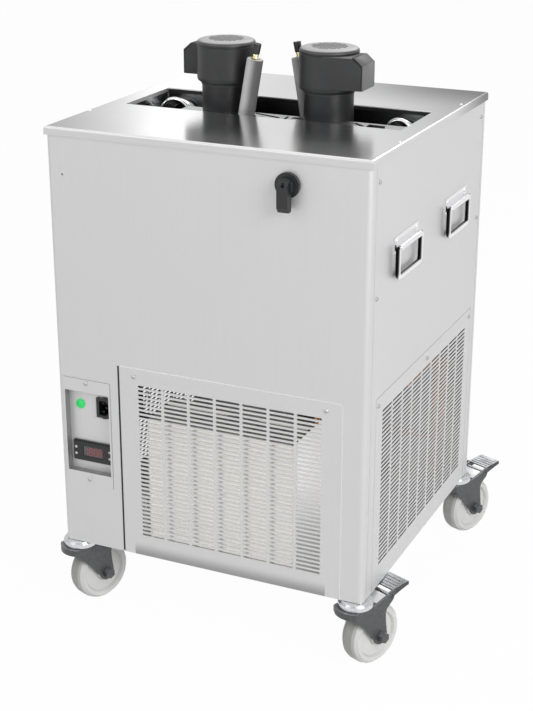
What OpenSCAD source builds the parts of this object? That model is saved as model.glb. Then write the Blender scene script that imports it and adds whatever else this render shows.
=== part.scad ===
// Glycol chiller on four braked swivel castors. Millimetres, floor at z = 0,
// front towards -Y, origin on the floor below the middle of the cabinet.

/* [Cabinet] */
// Width of the cabinet over its side sheets
cabinet_w = 520; // [510:2:560]
// Depth of the cabinet over its front and back sheets
cabinet_d = 520; // [510:2:560]
// Height of the cabinet's top above the floor
cabinet_top = 806; // [800:2:840]
// Height of the grilles in the lower bay
bay_h = 320; // [310:2:324]
// Thickness of the cabinet's steel sheet
sheet = 1.5; // [1.2:0.1:2]
// Outer radius of the cabinet's upright bends
corner_r = 8; // [7:1:10]
// Width of the front and back sheets' returns past the bend
corner_return = 8; // [6:1:12]
// Depth of the top frame's skirt
cap_skirt = 13; // [10:1:16]
// Outer radius of the top frame's bends
cap_bend = 4; // [3:0.5:6]
// Thickness of the welded chassis' sheet
frame_t = 2; // [1.5:0.1:2.5]

/* [Tank] */
// Border of the top left and right of its opening
opening_border = 30; // [28:1:32]
// Width of the opening in the top
opening_d = 140; // [138:1:150]
// Depth of the tank below the top
tank_depth = 330; // [300:5:335]
// Outer diameter of the evaporator tube
coil_d = 8; // [7:0.5:8.5]
// Number of upright loops in each evaporator bank
coil_loops = 4; // [3:1:4]

/* [Pumps] */
// Distance between the two pump axes
pump_pitch = 174; // [172:1:178]
// Diameter of the pump's lower housing
pump_d = 77; // [74:0.5:80]
// Height of the lower housing above the top
pump_rise = 43; // [38:1:48]
// Diameter of the motor cover
motor_d = 92.5; // [88:0.5:95]
// Height of the motor cover
motor_h = 44; // [40:1:48]
// Reach of the terminal box from the pump's axis
box_reach = 72; // [68:1:78]
// Width of the terminal box
box_w = 34; // [30:1:40]
// Diameter of the agitator shaft
shaft_d = 8; // [6:0.5:10]
// Outer diameter of the foam sleeve on each line
sleeve_d = 25.5; // [23:0.5:26]
// Lean of the lines, in degrees
line_lean = 10; // [8:0.5:11]

/* [Grilles] */
// Width of the front grille
front_grille_w = 371; // [350:1:380]
// Distance of the front grille's middle from the cabinet's middle
front_grille_x = 37; // [34:1:38]
// Border of the side sheet beside each side grille
side_grille_border = 35.5; // [34:0.5:45]
// Length of a slot
slot_l = 40; // [36:0.5:41]
// Height of a slot
slot_h = 3.6; // [3:0.1:4.2]
// Distance from slot to slot along a row
slot_step = 44.4; // [43:0.1:48]
// Distance from row to row
row_step = 7.05; // [6.5:0.05:8]
// Thickness of the grille sheet
grille_t = 1.2; // [1:0.1:1.5]

/* [Controls] */
// Width of the control window
window_w = 81; // [79:0.5:84]
// Height of the control window
window_h = 141; // [138:1:146]
// Depth of the recess behind the control window
recess = 12; // [10:0.5:15]
// Width of the controller's bezel
ctl_w = 72.5; // [70:0.5:73]
// Height of the controller's bezel
ctl_h = 34.5; // [33:0.5:36]
// Diameter of each controller button
button_d = 4.4; // [4:0.1:5]
// Travel of each controller button
button_travel = 0.8; // [0.5:0.1:1]
// Width of the mains inlet
inlet_w = 27; // [26:0.5:29]
// Height of the mains inlet
inlet_h = 33; // [32:0.5:36]
// Diameter of the pilot lamp's bezel
lamp_d = 16; // [14:0.5:17]
// Diameter of the lever's round base
lever_base_d = 37; // [34:1:40]
// Length of the lever below its axis
lever_l = 36; // [32:1:42]

/* [Handles] */
// Width of each chest handle's plate
handle_w = 102; // [96:1:110]
// Distance between the two handles on a side
handle_pitch = 230; // [220:2:240]
// Drop of the hanging bail below its pivot
bail_drop = 43; // [38:1:50]
// Diameter of the bail's rod
bail_d = 8; // [7:0.5:9]

/* [Castors] */
// Height of a castor over its plate
castor_h = 125; // [122:1:128]
// Diameter of a wheel
wheel_d = 100; // [96:1:102]
// Width of a wheel
wheel_w = 34; // [30:1:36]
// Distance of the wheel's axle behind the swivel axis
castor_trail = 34; // [30:1:38]
// Turn of all castors about their swivel axes, in degrees
castor_turn = -22; // [-40:1:0]
// Distance of each swivel axis from the cabinet's middle lines
castor_place = 243; // [238:0.5:244]
// Diameter of the wheel's axle bolt
axle_d = 12; // [10:0.5:14]

/* [Cooling] */
// Width of the condenser
condenser_w = 250; // [230:2:260]
// Height of the condenser
condenser_h = 226; // [210:2:236]
// Depth of the condenser
condenser_t = 66; // [56:1:70]
// Diameter of the fan
fan_d = 200; // [180:2:204]
// Number of fan blades
blades = 5; // [3:1:7]
// Diameter of the compressor's shell
compressor_d = 150; // [130:2:160]
// Outer diameter of the copper pipe
pipe_d = 9.5; // [8:0.5:12]

/* [Hidden] */
$fn = 48;
// Clearance between pieces that seat on each other
seat = 0.3;
// Gap round each panel in its place
panel_gap = 0.8;
// Radial clearance of a turning shaft in its bore
running = 0.1;
// How far a cut runs past the face it opens
over = 1;

half_w = cabinet_w / 2;
half_d = cabinet_d / 2;
// The side sheets hang a little below the castor plates' seat
cabinet_bottom = castor_h - 3;
bay_top = cabinet_bottom + bay_h;
cap_under = cabinet_top - sheet;
frame_top = cap_under - seat;
// The sheets end below the top frame's bends
panel_top = cabinet_top - cap_bend - seat;
opening_w = cabinet_w - 2 * opening_border;
side_grille_w = cabinet_d - 2 * side_grille_border;
chassis_w = cabinet_w - 2 * (sheet + seat);
chassis_d = cabinet_d - 2 * (sheet + seat);
chassis_r = corner_r - sheet - seat;
tray_lip = 26;
rail_h = 20;
upright_x = 8;
upright_y = 26;
shelf_z = bay_top + 4;

// Tank, hung from the underside of the top frame round the opening
opening_lip = 6;
tank_t = 1.2;
tank_in_w = opening_w + 2 * (sheet + seat);
tank_in_d = opening_d + 2 * (sheet + seat);
tank_r = 4;
tank_flange = 9;
tank_bottom = cabinet_top - tank_depth;
tank_port = coil_d + 2 * seat;

// Evaporator banks stand near the back wall at the two ends of the tank
coil_top = cabinet_top - 6;
coil_step = coil_d + 1.2;
coil_drop = 3;
coil_low = tank_bottom + 24;
bank_y = tank_in_d / 2 - coil_d / 2 - 3 - coil_step * 3;
bank_left_x = -tank_in_w / 2 + 33;
bank_right_x = tank_in_w / 2 - 43;
bank_left_r = 26;
bank_right_r = 18;

// Pumps, each with its line on the inner side
pump_x = pump_pitch / 2;
bridge_t = 2;
bridge_top = cabinet_top - 7.5;
flange_t = 2;
housing_low = cabinet_top - 36;
column_d = 38;
head_d = 66;
head_h = 40;
head_low = tank_bottom + 22;
impeller_d = 46;
impeller_h = 10;
seam_h = 5;
motor_low = cabinet_top + pump_rise;
motor_top = motor_low + motor_h;
vent_d = motor_d - 1;
vent_h = 6;
vent_dome_r = 290;
box_h = motor_h - 3;
box_chamfer = 20;
box_fall = 11;
box_turn = -14.5;
line_x = -55;
line_y = 42;
line_top = 78;
line_low = 150;
tube_d = 12;
cap_len = 20;
outlet_top = head_low + 36 - cabinet_top;
outlet_x = line_x - outlet_top * tan(line_lean);

// Grilles
slot_margin_top = 25;
slot_margin_low = 32;
slot_margin_side = 22;
grille_lip = 16;
side_grille_y = 3;

// Controls
window_x = -half_w + 51.5;
window_z = cabinet_bottom + 196.5;
cover_t = 1;
cover_w = window_w + 3.5;
cover_low = window_z - window_h / 2 - 20;
cover_high = window_z + window_h / 2 + 20;
recess_y = -half_d + recess;
plate_t = 1;
box_deep = 76;
box_z = window_z;
ctl_x = window_x + 2.5;
ctl_z = window_z - 36.5;
ctl_proud = 5;
ctl_body_h = 28.5;
ctl_body_w = ctl_w - 4.5;
ctl_deep = 52;
display_w = 35;
display_h = 17;
display_t = 1;
display_sink = 1;
button_x = ctl_w / 2 - 5.5;
button_z = 5.6;
button_len = 5;
button_proud = 1.2;
inlet_x = window_x + 25;
inlet_z = window_z + 43;
inlet_proud = 4;
inlet_body = 30;
socket_w = 17;
socket_h = 24;
socket_deep = 18;
lamp_x = window_x - 19;
lamp_z = window_z + 43;
lamp_body_d = 11;
lever_x = half_w - 125;
lever_z = cabinet_top - 47;
lever_base_t = 8;
lever_w = 16.5;
lever_t = 15;
lever_hub_d = 25;
lever_pin_d = 9;

// Chest handles
handle_plate_t = 2;
handle_plate_h = 24;
handle_top = cabinet_top - 133;
handle_mid_y = -4;
barrel_d = 10;
barrel_drop = 17;
bail_pin_d = 5;
bail_out = handle_plate_t + barrel_d / 2;
bail_arm_y = handle_w / 2 - bail_d / 2 + 1.5;
barrel_len = 2 * bail_arm_y - bail_d - 1;

// Castors
wheel_r = wheel_d / 2;
race_d = 55;
race_top = cabinet_bottom - 0.5;
race_low = castor_h - 15.5;
stem_d = 12;
stem_len = 16;
nut_d = 20;
fork_top = race_low - seat;
fork_t = 3;
fork_in = wheel_w / 2 + 3.5;
fork_nose = 33;
fork_front = -24;
fork_skirt = 10.5;
kingpin_d = 12;
kingpin_h = 9;
pedal_y = castor_trail + 22;
pedal_z = fork_top + 2.8;
pedal_w = 40;
pedal_pin_d = 6;

// Refrigeration
condenser_y = -half_d + 24;
condenser_x = 10;
condenser_low = castor_h + frame_t + seat;
fin_step = 4.5;
fin_t = 0.6;
fan_y = condenser_y + condenser_t + 26;
fan_z = condenser_low + condenser_h / 2;
fan_shaft_d = 8;
fan_shaft_len = 46;
fan_hub_d = 44;
fan_hub_h = 16;
compressor_x = 60;
compressor_y = half_d - compressor_d / 2 - 42;
compressor_low = castor_h + frame_t + seat;
compressor_h = 190;
stub_len = 8;
// Pipe stubs of the compressor: offset along Y and height above its feet
stubs = [[-13, 109], [24, 95]];
liquid_x = condenser_x - condenser_w / 2 - 30;

// Plan outline of a folded box with round corners
module rounded_plan(w, d, r) {
    square([w - 2 * r, d], center = true);
    square([w, d - 2 * r], center = true);
    for (x = [-1, 1], y = [-1, 1])
        translate([x * (w / 2 - r), y * (d / 2 - r)]) circle(r);
}

// Plan of a sheet folded round such a box
module ring_plan(w, d, r, t) {
    difference() {
        rounded_plan(w, d, r);
        rounded_plan(w - 2 * t, d - 2 * t, r - t);
    }
}

// A hole through a sheet that stands across Y
module hole_y(x, y, z, d, deep) {
    translate([x, y, z]) rotate([90, 0, 0]) cylinder(d = d, h = deep, center = true);
}

// A hole through a sheet that stands across X
module hole_x(x, y, z, d, deep) {
    translate([x, y, z]) rotate([0, 90, 0]) cylinder(d = d, h = deep, center = true);
}

// Places of the sheet screws
screw_d = 3.4;
screw_hole = 4;
screw_edge = 14;
screw_in = 26;
screw_side_in = 8;
screw_high = 36;
screw_mid = 206;
back_screw_in = 20;
back_screw_low = 40;
back_screw_mid = 330;
front_screw_z = bay_top - screw_edge;
front_screws = [for (s = [-1, 1]) [front_grille_x + s * (front_grille_w / 2 - screw_in), front_screw_z]];
side_screws = [
    for (s = [-1, 0, 1]) [side_grille_y + s * (side_grille_w / 2 - screw_side_in), bay_top - screw_edge + 1]
];
panel_screw_y = half_d - corner_r - corner_return - 11;
panel_screws_z = [cabinet_top - screw_high, cabinet_top - screw_mid];
back_screws_z = [
    cabinet_bottom + back_screw_low, cabinet_bottom + back_screw_mid, cabinet_top - screw_high
];
cover_screws_z = [cover_low + 10, cover_high - 6];

// Welded chassis: tray, uprights, rails and the shelf under the tank
module chassis() {
    color("silver") difference() {
        union() {
            translate([0, 0, castor_h]) linear_extrude(frame_t) rounded_plan(chassis_w, chassis_d, chassis_r);
            translate([0, 0, castor_h]) linear_extrude(tray_lip)
                ring_plan(chassis_w, chassis_d, chassis_r, frame_t);
            translate([0, 0, castor_h]) linear_extrude(frame_top - castor_h) intersection() {
                ring_plan(chassis_w, chassis_d, chassis_r, frame_t);
                for (x = [-1, 1], y = [-1, 1])
                    translate([x * (chassis_w - upright_x) / 2, y * (chassis_d - upright_y) / 2])
                        square([upright_x, upright_y], center = true);
            }
            translate([0, 0, shelf_z]) linear_extrude(rail_h)
                ring_plan(chassis_w, chassis_d, chassis_r, frame_t);
            translate([0, 0, shelf_z]) linear_extrude(frame_t) rounded_plan(chassis_w, chassis_d, chassis_r);
            translate([0, 0, frame_top - rail_h]) linear_extrude(rail_h)
                ring_plan(chassis_w, chassis_d, chassis_r, frame_t);
        }
        // Castor stems pass through the corners of the tray
        for (p = castor_places) translate([p[0], p[1], castor_h - over])
            cylinder(d = stem_d + 2 * seat, h = frame_t + 2 * over);
        for (p = coil_ports) translate([p[0], p[1], shelf_z - over])
            cylinder(d = pipe_d + 4, h = frame_t + 2 * over);
    }
}

// Front sheet with its returns, the grille's opening and the control window
module front_panel() {
    color("gainsboro") difference() {
        translate([0, 0, cabinet_bottom]) linear_extrude(panel_top - cabinet_bottom) intersection() {
            ring_plan(cabinet_w, cabinet_d, corner_r, sheet);
            translate([-half_w, -half_d]) square([cabinet_w, corner_r + corner_return]);
        }
        translate([
            front_grille_x - front_grille_w / 2 - panel_gap, -half_d - over, cabinet_bottom - over
        ]) cube([front_grille_w + 2 * panel_gap, sheet + 2 * over, bay_h + panel_gap + over]);
        translate([window_x - window_w / 2, -half_d - over, window_z - window_h / 2])
            cube([window_w, sheet + 2 * over, window_h]);
        for (z = cover_screws_z) hole_y(window_x, -half_d, z, screw_hole, 4 * sheet);
        hole_y(lever_x, -half_d, lever_z, lever_pin_d + 4, 4 * sheet);
        hole_y(-half_w + 26, -half_d, cabinet_top - 71, 3, 4 * sheet);
    }
}

// Side sheet with the opening for its grille, drawn for the right side
module side_panel() {
    span = cabinet_d - 2 * (corner_r + corner_return + panel_gap);
    color("gainsboro") difference() {
        translate([half_w - sheet, -span / 2, cabinet_bottom])
            cube([sheet, span, panel_top - cabinet_bottom]);
        translate([
            half_w - sheet - over, side_grille_y - side_grille_w / 2 - panel_gap, cabinet_bottom - over
        ]) cube([sheet + 2 * over, side_grille_w + 2 * panel_gap, bay_h + panel_gap + over]);
        for (s = [-1, 1], z = panel_screws_z) hole_x(half_w, s * panel_screw_y, z, screw_hole, 4 * sheet);
        for (s = [-1, 1], y = [-1, 1])
            hole_x(half_w, handle_mid_y + s * handle_pitch / 2 + y * (handle_w / 2 - 9), handle_top - 6, 4,
                4 * sheet);
    }
}

module right_panel() { side_panel(); }

module left_panel() { mirror([1, 0, 0]) side_panel(); }

// Back sheet with its returns
module back_panel() {
    color("gainsboro") difference() {
        translate([0, 0, cabinet_bottom]) linear_extrude(panel_top - cabinet_bottom) intersection() {
            ring_plan(cabinet_w, cabinet_d, corner_r, sheet);
            translate([-half_w, half_d - corner_r - corner_return])
                square([cabinet_w, corner_r + corner_return]);
        }
        for (s = [-1, 1], z = back_screws_z) hole_y(s * (half_w - back_screw_in), half_d, z, screw_hole, 4 * sheet);
    }
}

// Profile of the top frame: a flat top between two bends, l long and h deep
module cap_profile(l, h, r) {
    translate([-l / 2, -h]) square([l, h - r]);
    translate([-l / 2 + r, -r]) square([l - 2 * r, r]);
    for (s = [-1, 1]) translate([s * (l / 2 - r), -r]) circle(r);
}

// Solid with the cap profile along both sides, so its bends meet in mitres
module cap_form(w, d, h, r) {
    intersection() {
        translate([0, d / 2, 0]) rotate([90, 0, 0]) linear_extrude(d) cap_profile(w, h, r);
        translate([-w / 2, 0, 0]) rotate([90, 0, 90]) linear_extrude(w) cap_profile(d, h, r);
    }
}

// Top frame: flat sheet, skirt all round and a lip down into the tank
module top_frame() {
    cap_w = cabinet_w + 2 * (seat + sheet);
    cap_d = cabinet_d + 2 * (seat + sheet);
    color("silver") difference() {
        union() {
            translate([0, 0, cabinet_top]) difference() {
                cap_form(cap_w, cap_d, cap_skirt, cap_bend);
                translate([0, 0, -sheet])
                    cap_form(cap_w - 2 * sheet, cap_d - 2 * sheet, cap_skirt, cap_bend - sheet);
            }
            translate([0, 0, cabinet_top - opening_lip]) linear_extrude(opening_lip - sheet / 2)
                rounded_plan(opening_w + 2 * sheet, opening_d + 2 * sheet, tank_r - seat);
        }
        translate([-opening_w / 2, -opening_d / 2, cabinet_top - opening_lip - over])
            cube([opening_w, opening_d, opening_lip + 2 * over]);
    }
}

// One slot with round ends
module slot() {
    square([slot_l - slot_h, slot_h], center = true);
    for (s = [-1, 1]) translate([s * (slot_l - slot_h) / 2, 0]) circle(d = slot_h, $fn = 24);
}

// Slotted sheet w wide, standing on the XZ plane with its outer face towards -Y
module grille(w, screws) {
    columns = floor((w - 2 * slot_margin_side + slot_step - slot_l) / slot_step);
    rows = floor((bay_h - slot_margin_top - slot_margin_low) / row_step);
    field_top = bay_h - slot_margin_top;
    color("lightgray") {
        translate([0, grille_t, 0]) rotate([90, 0, 0]) linear_extrude(grille_t) difference() {
            translate([-w / 2, 0]) square([w, bay_h]);
            for (c = [0 : columns - 1], r = [0 : rows - 1])
                translate([(c - (columns - 1) / 2) * slot_step, field_top - (r + 0.5) * row_step]) slot();
            for (p = screws) translate(p) circle(d = screw_hole);
        }
        // Bottom lip, folded in under the tray
        translate([-w / 2 + 8, 0, 0]) cube([w - 16, grille_lip, grille_t]);
    }
}

module front_grille() {
    translate([front_grille_x, -half_d, cabinet_bottom])
        grille(front_grille_w, [for (p = front_screws) [p[0] - front_grille_x, p[1] - cabinet_bottom]]);
}

module right_grille() {
    translate([half_w, side_grille_y, cabinet_bottom]) rotate([0, 0, 90])
        grille(side_grille_w, [for (p = side_screws) [p[0] - side_grille_y, p[1] - cabinet_bottom]]);
}

module left_grille() { mirror([1, 0, 0]) right_grille(); }

// Pan-head sheet screw whose head stands out towards +Z
module sheet_screw(grip) {
    color("gray") difference() {
        union() {
            rotate_extrude() {
                square([3.5, 1.1]);
                difference() {
                    translate([0, -1.93]) circle(4.6, $fn = 64);
                    translate([-6, -8]) square([12, 9.1]);
                    translate([-6, -8]) square([6, 20]);
                }
            }
            translate([0, 0, -grip]) cylinder(d = screw_d, h = grip + 0.2);
        }
        for (a = [0, 90]) rotate([0, 0, a]) translate([0, 0, 2.7]) cube([4, 0.9, 1.6], center = true);
    }
}

module panel_screws() {
    for (p = front_screws) translate([p[0], -half_d, p[1]]) rotate([90, 0, 0]) sheet_screw(grille_t);
    for (z = cover_screws_z) translate([window_x, -half_d - cover_t, z]) rotate([90, 0, 0])
        sheet_screw(cover_t + sheet);
    for (s = [-1, 1]) {
        for (p = side_screws) translate([s * half_w, p[0], p[1]]) rotate([0, s * 90, 0])
            sheet_screw(grille_t);
        for (y = [-1, 1], z = panel_screws_z) translate([s * half_w, y * panel_screw_y, z])
            rotate([0, s * 90, 0]) sheet_screw(sheet);
        for (z = back_screws_z) translate([s * (half_w - back_screw_in), half_d, z]) rotate([-90, 0, 0])
            sheet_screw(sheet);
    }
}

// Cover plate with the recess folded back from its window
module control_cover() {
    color("gainsboro") difference() {
        union() {
            translate([window_x - cover_w / 2, -half_d - cover_t, cover_low])
                cube([cover_w, cover_t, cover_high - cover_low]);
            translate([window_x - window_w / 2 + seat, -half_d - cover_t, window_z - window_h / 2 + seat])
                cube([window_w - 2 * seat, cover_t + recess - seat, window_h - 2 * seat]);
        }
        translate([
            window_x - window_w / 2 + seat + plate_t, -half_d - cover_t - over,
            window_z - window_h / 2 + seat + plate_t
        ]) cube([
            window_w - 2 * (seat + plate_t), cover_t + recess + 2 * over, window_h - 2 * (seat + plate_t)
        ]);
        for (z = cover_screws_z) hole_y(window_x, -half_d, z, screw_hole, 4 * sheet);
    }
}

// Closed box behind the recess; its front carries the lamp, inlet and controller
module control_box() {
    color("gainsboro") difference() {
        translate([window_x - window_w / 2, recess_y, box_z - window_h / 2])
            cube([window_w, box_deep, window_h]);
        translate([window_x - window_w / 2 + plate_t, recess_y + plate_t, box_z - window_h / 2 + plate_t])
            cube([window_w - 2 * plate_t, box_deep - 2 * plate_t, window_h - 2 * plate_t]);
        hole_y(lamp_x, recess_y, lamp_z, lamp_body_d + 2 * seat, 4 * plate_t);
        translate([inlet_x - (inlet_w - 4) / 2 - seat, recess_y - over, inlet_z - (inlet_h - 4) / 2 - seat])
            cube([inlet_w - 4 + 2 * seat, plate_t + 2 * over, inlet_h - 4 + 2 * seat]);
        translate([ctl_x - ctl_body_w / 2 - seat, recess_y - over, ctl_z - ctl_body_h / 2 - seat])
            cube([ctl_body_w + 2 * seat, plate_t + 2 * over, ctl_body_h + 2 * seat]);
    }
}

// Pilot lamp: domed lens, bezel and body through the plate
module pilot_lamp() {
    color("limegreen") translate([lamp_x, recess_y, lamp_z]) rotate([90, 0, 0]) rotate_extrude() {
        square([lamp_d / 2, 1.6]);
        translate([0, -22]) square([lamp_body_d / 2, 22.5]);
        intersection() {
            translate([0, -4]) circle(8.2);
            translate([0, 1.4]) square([lamp_d / 2 - 1.5, 6]);
        }
    }
}

// Appliance inlet: flange, body, cavity with two cut corners and three pins
module power_inlet() {
    color("dimgray") translate([inlet_x, recess_y, inlet_z]) {
        difference() {
            union() {
                translate([-inlet_w / 2, -inlet_proud, -inlet_h / 2]) cube([inlet_w, inlet_proud, inlet_h]);
                translate([-(inlet_w - 4) / 2, -0.5, -(inlet_h - 4) / 2])
                    cube([inlet_w - 4, inlet_body, inlet_h - 4]);
                for (s = [-1, 1]) translate([-3, -inlet_proud, s * inlet_h / 2 - 1.2])
                    cube([6, inlet_proud, 2.4]);
            }
            translate([0, socket_deep - inlet_proud, 0]) rotate([90, 0, 0]) linear_extrude(socket_deep + over)
                polygon([
                    [-socket_w / 2, -socket_h / 2], [socket_w / 2 - 5, -socket_h / 2],
                    [socket_w / 2, -socket_h / 2 + 5], [socket_w / 2, socket_h / 2 - 5],
                    [socket_w / 2 - 5, socket_h / 2], [-socket_w / 2, socket_h / 2]
                ]);
        }
        for (p = [[-3, 7], [3, 0], [-3, -7]])
            translate([p[0] - 2, -inlet_proud + 4, p[1] - 1]) cube([4, socket_deep - 3, 2]);
    }
}

// Digital controller: bevelled bezel, display recess, button bores and body
module controller_case() {
    color("#26272a") translate([ctl_x, recess_y, ctl_z]) difference() {
        union() {
            rotate([90, 0, 0]) linear_extrude(ctl_proud - 1.5) rounded_plan(ctl_w, ctl_h, 2);
            translate([0, -ctl_proud + 1.6, 0]) rotate([90, 0, 0]) linear_extrude(1.6)
                rounded_plan(ctl_w - 3, ctl_h - 3, 1.5);
            translate([-ctl_body_w / 2, -0.5, -ctl_body_h / 2]) cube([ctl_body_w, ctl_deep, ctl_body_h]);
        }
        translate([-display_w / 2 - seat, -ctl_proud - over, -display_h / 2 - seat])
            cube([display_w + 2 * seat, display_sink + display_t + over, display_h + 2 * seat]);
        for (x = [-1, 1], z = [-1, 1])
            hole_y(x * button_x, -ctl_proud, z * button_z, button_d + 2 * seat, 2 * (button_len + 2));
    }
}

module display_window() {
    color("#4a4d52")
        translate([ctl_x - display_w / 2, recess_y - ctl_proud + display_sink, ctl_z - display_h / 2])
            cube([display_w, display_t - 0.1, display_h]);
}

// Round push button with a domed face, standing proud of the bezel
module controller_button(x, z) {
    color("lightgray") translate([ctl_x + x * button_x, recess_y - ctl_proud, ctl_z + z * button_z])
        rotate([90, 0, 0]) translate([0, 0, button_proud - button_len]) intersection() {
            cylinder(d = button_d, h = button_len);
            translate([0, 0, button_len - 8]) sphere(8);
        }
}

module controller_button_1() { controller_button(-1, 1); }
module controller_button_2() { controller_button(-1, -1); }
module controller_button_3() { controller_button(1, 1); }
module controller_button_4() { controller_button(1, -1); }

// Round base of the lever, with the pin that the lever turns on
module lever_base() {
    color("#1c1d1f") translate([lever_x, -half_d, lever_z]) rotate([90, 0, 0]) {
        rotate_extrude() {
            square([lever_base_d / 2, lever_base_t - 1.5]);
            square([lever_base_d / 2 - 1.5, lever_base_t]);
            square([lever_pin_d / 2, lever_base_t + 7]);
        }
        translate([0, 0, -16]) cylinder(d = lever_pin_d + 2, h = 16.5);
    }
}

// Lever: round hub with a sloped finger bar below it and a slot beside the axis
module lever() {
    color("#1c1d1f") translate([lever_x, -half_d - lever_base_t - seat, lever_z]) rotate([90, 0, 0])
        difference() {
            union() {
                cylinder(d = lever_hub_d, h = 8);
                rotate([0, 90, 0]) translate([0, 0, -lever_w / 2]) linear_extrude(lever_w) polygon([
                    [0, 10 - lever_l], [0, 10], [-6, 11], [-lever_t, 4], [-lever_t, 7 - lever_l],
                    [-10, -lever_l], [-1.5, -lever_l]
                ]);
            }
            translate([0, 0, -over]) cylinder(d = lever_pin_d + 2 * running, h = 8 + over);
            translate([-1.5, 1, lever_t - 5]) cube([5, 6, 12]);
        }
}

// Tank: welded tub with a flange that hangs under the top frame
module tank() {
    out_w = tank_in_w + 2 * tank_t;
    out_d = tank_in_d + 2 * tank_t;
    color("silver") difference() {
        union() {
            translate([0, 0, tank_bottom]) linear_extrude(cap_under - seat - tank_bottom)
                rounded_plan(out_w, out_d, tank_r + tank_t);
            translate([0, 0, cap_under - seat - tank_t]) linear_extrude(tank_t)
                rounded_plan(out_w + 2 * tank_flange, out_d + 2 * tank_flange, tank_r);
        }
        translate([0, 0, tank_bottom + tank_t]) linear_extrude(tank_depth)
            rounded_plan(tank_in_w, tank_in_d, tank_r);
        for (p = coil_ports) translate([p[0], p[1], tank_bottom - over])
            cylinder(d = tank_port, h = 2 * over + tank_t);
    }
}

// Foam round the tank, from the shelf to the underside of the top
module insulation() {
    outer_w = chassis_w - 2 * (frame_t + seat);
    outer_d = chassis_d - 2 * (frame_t + seat);
    tank_w = tank_in_w + 2 * (tank_t + seat);
    tank_d = tank_in_d + 2 * (tank_t + seat);
    low = shelf_z + frame_t + seat;
    color("khaki") difference() {
        translate([0, 0, low]) linear_extrude(cap_under - seat - tank_t - seat - low)
            rounded_plan(outer_w, outer_d, chassis_r);
        translate([0, 0, tank_bottom - seat]) linear_extrude(tank_depth)
            rounded_plan(tank_w, tank_d, tank_r + tank_t + seat);
        for (p = coil_ports) translate([p[0], p[1], low - over])
            cylinder(d = pipe_d + 2, h = tank_bottom - low + over);
        // Pocket behind the lever's base
        hole_y(lever_x, -half_d, lever_z, lever_pin_d + 12, 60);
    }
}

// One evaporator bank of upright hairpins behind each other
function leg_side(i) = i % 2 == 0 ? 1 : -1;
coil_ports = [
    [bank_left_x - bank_left_r, bank_y], [bank_right_x - bank_right_r, bank_y]
];

module half_bend(r, d) {
    rotate([90, 0, 0]) rotate_extrude(angle = 180) translate([r, 0]) circle(d = d, $fn = 24);
}

module coil_bank(x, r) {
    color("gainsboro") translate([x, bank_y, 0]) for (i = [0 : coil_loops - 1]) {
        top = coil_top - coil_drop * i - coil_d / 2 - r;
        last = i == coil_loops - 1;
        translate([0, i * coil_step, top]) half_bend(r, coil_d);
        for (s = [-1, 1]) translate([s * r, i * coil_step, coil_low])
            cylinder(d = coil_d, h = top - coil_low, $fn = 24);
        if (!last) translate([leg_side(i) * r, (i + 0.5) * coil_step, coil_low]) rotate([0, 180, 90])
            half_bend(coil_step / 2, coil_d);
    }
}

module evaporator_coil() {
    for (p = [[bank_left_x, bank_left_r], [bank_right_x, bank_right_r]]) coil_bank(p[0], p[1]);
    for (p = coil_ports) color("gainsboro") translate([p[0], p[1], tank_bottom - 4])
        cylinder(d = coil_d, h = coil_low - tank_bottom + 5, $fn = 24);
}

// Folded bridge across the front of the opening; the pumps stand in its notches
module pump_bridge() {
    bridge_x0 = -pump_x - pump_d / 2 - 24;
    bridge_x1 = tank_in_w / 2 - seat;
    bridge_y0 = -tank_in_d / 2 + seat;
    bridge_y1 = -12;
    color("silver") difference() {
        union() {
            translate([0, 0, bridge_top - bridge_t]) linear_extrude(bridge_t) intersection() {
                translate([bridge_x0, bridge_y0]) square([bridge_x1 - bridge_x0, bridge_y1 - bridge_y0]);
                rounded_plan(tank_in_w - 2 * seat, tank_in_d - 2 * seat, tank_r);
            }
            translate([bridge_x0, bridge_y1 - bridge_t, bridge_top - 10])
                cube([bridge_x1 - bridge_x0, bridge_t, 9]);
        }
        for (s = [-1, 1]) translate([s * pump_x, 0, bridge_top - 14]) cylinder(d = pump_d + 2 * seat, h = 20);
        // Pass-through for the left line, and slits for clamping
        translate([-pump_x - line_x - 2, -line_y, bridge_top - 14]) cylinder(d = sleeve_d + 6, h = 20);
        for (k = [0 : 2]) translate([2 + k * 14, -32, bridge_top - 14]) rotate([0, 0, k == 0 ? -30 : 25 * (k - 1)])
            translate([0, -2, 0]) cube([12, 4, 20]);
        for (k = [0 : 1]) translate([pump_x + 52 + k * 34, -34, bridge_top - 14]) cube([24, 5, 20]);
    }
}

// Pump drawn on its own axis, z = 0 at the cabinet's top
module pump_housing() {
    flange_low = bridge_top + seat - cabinet_top;
    low = head_low - cabinet_top;
    bore = shaft_d / 2 + running;
    color("#2b2c2e") difference() {
        union() {
            rotate_extrude() {
                translate([bore, housing_low - cabinet_top])
                    square([pump_d / 2 - bore, pump_rise - housing_low + cabinet_top]);
                translate([bore, flange_low]) square([motor_d / 2 - bore, flange_t]);
                translate([bore, low])
                    square([column_d / 2 - bore, housing_low - cabinet_top - low + over]);
                translate([bore, low]) square([head_d / 2 - bore, head_h]);
            }
            // Outlet boss under the line
            translate([outlet_x, line_y, outlet_top - 26]) cylinder(d = 22, h = 26);
            translate([outlet_x - 7, 20, outlet_top - 24]) cube([14, line_y - 20, 20]);
        }
        translate([0, 0, low + 8]) cylinder(d = impeller_d + 6, h = head_h - 16);
        // Inlet and outlet windows of the pump head
        for (a = [0 : 45 : 315]) rotate([0, 0, a]) translate([0, -6, low + 12]) cube([head_d, 12, head_h - 24]);
    }
}

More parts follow.
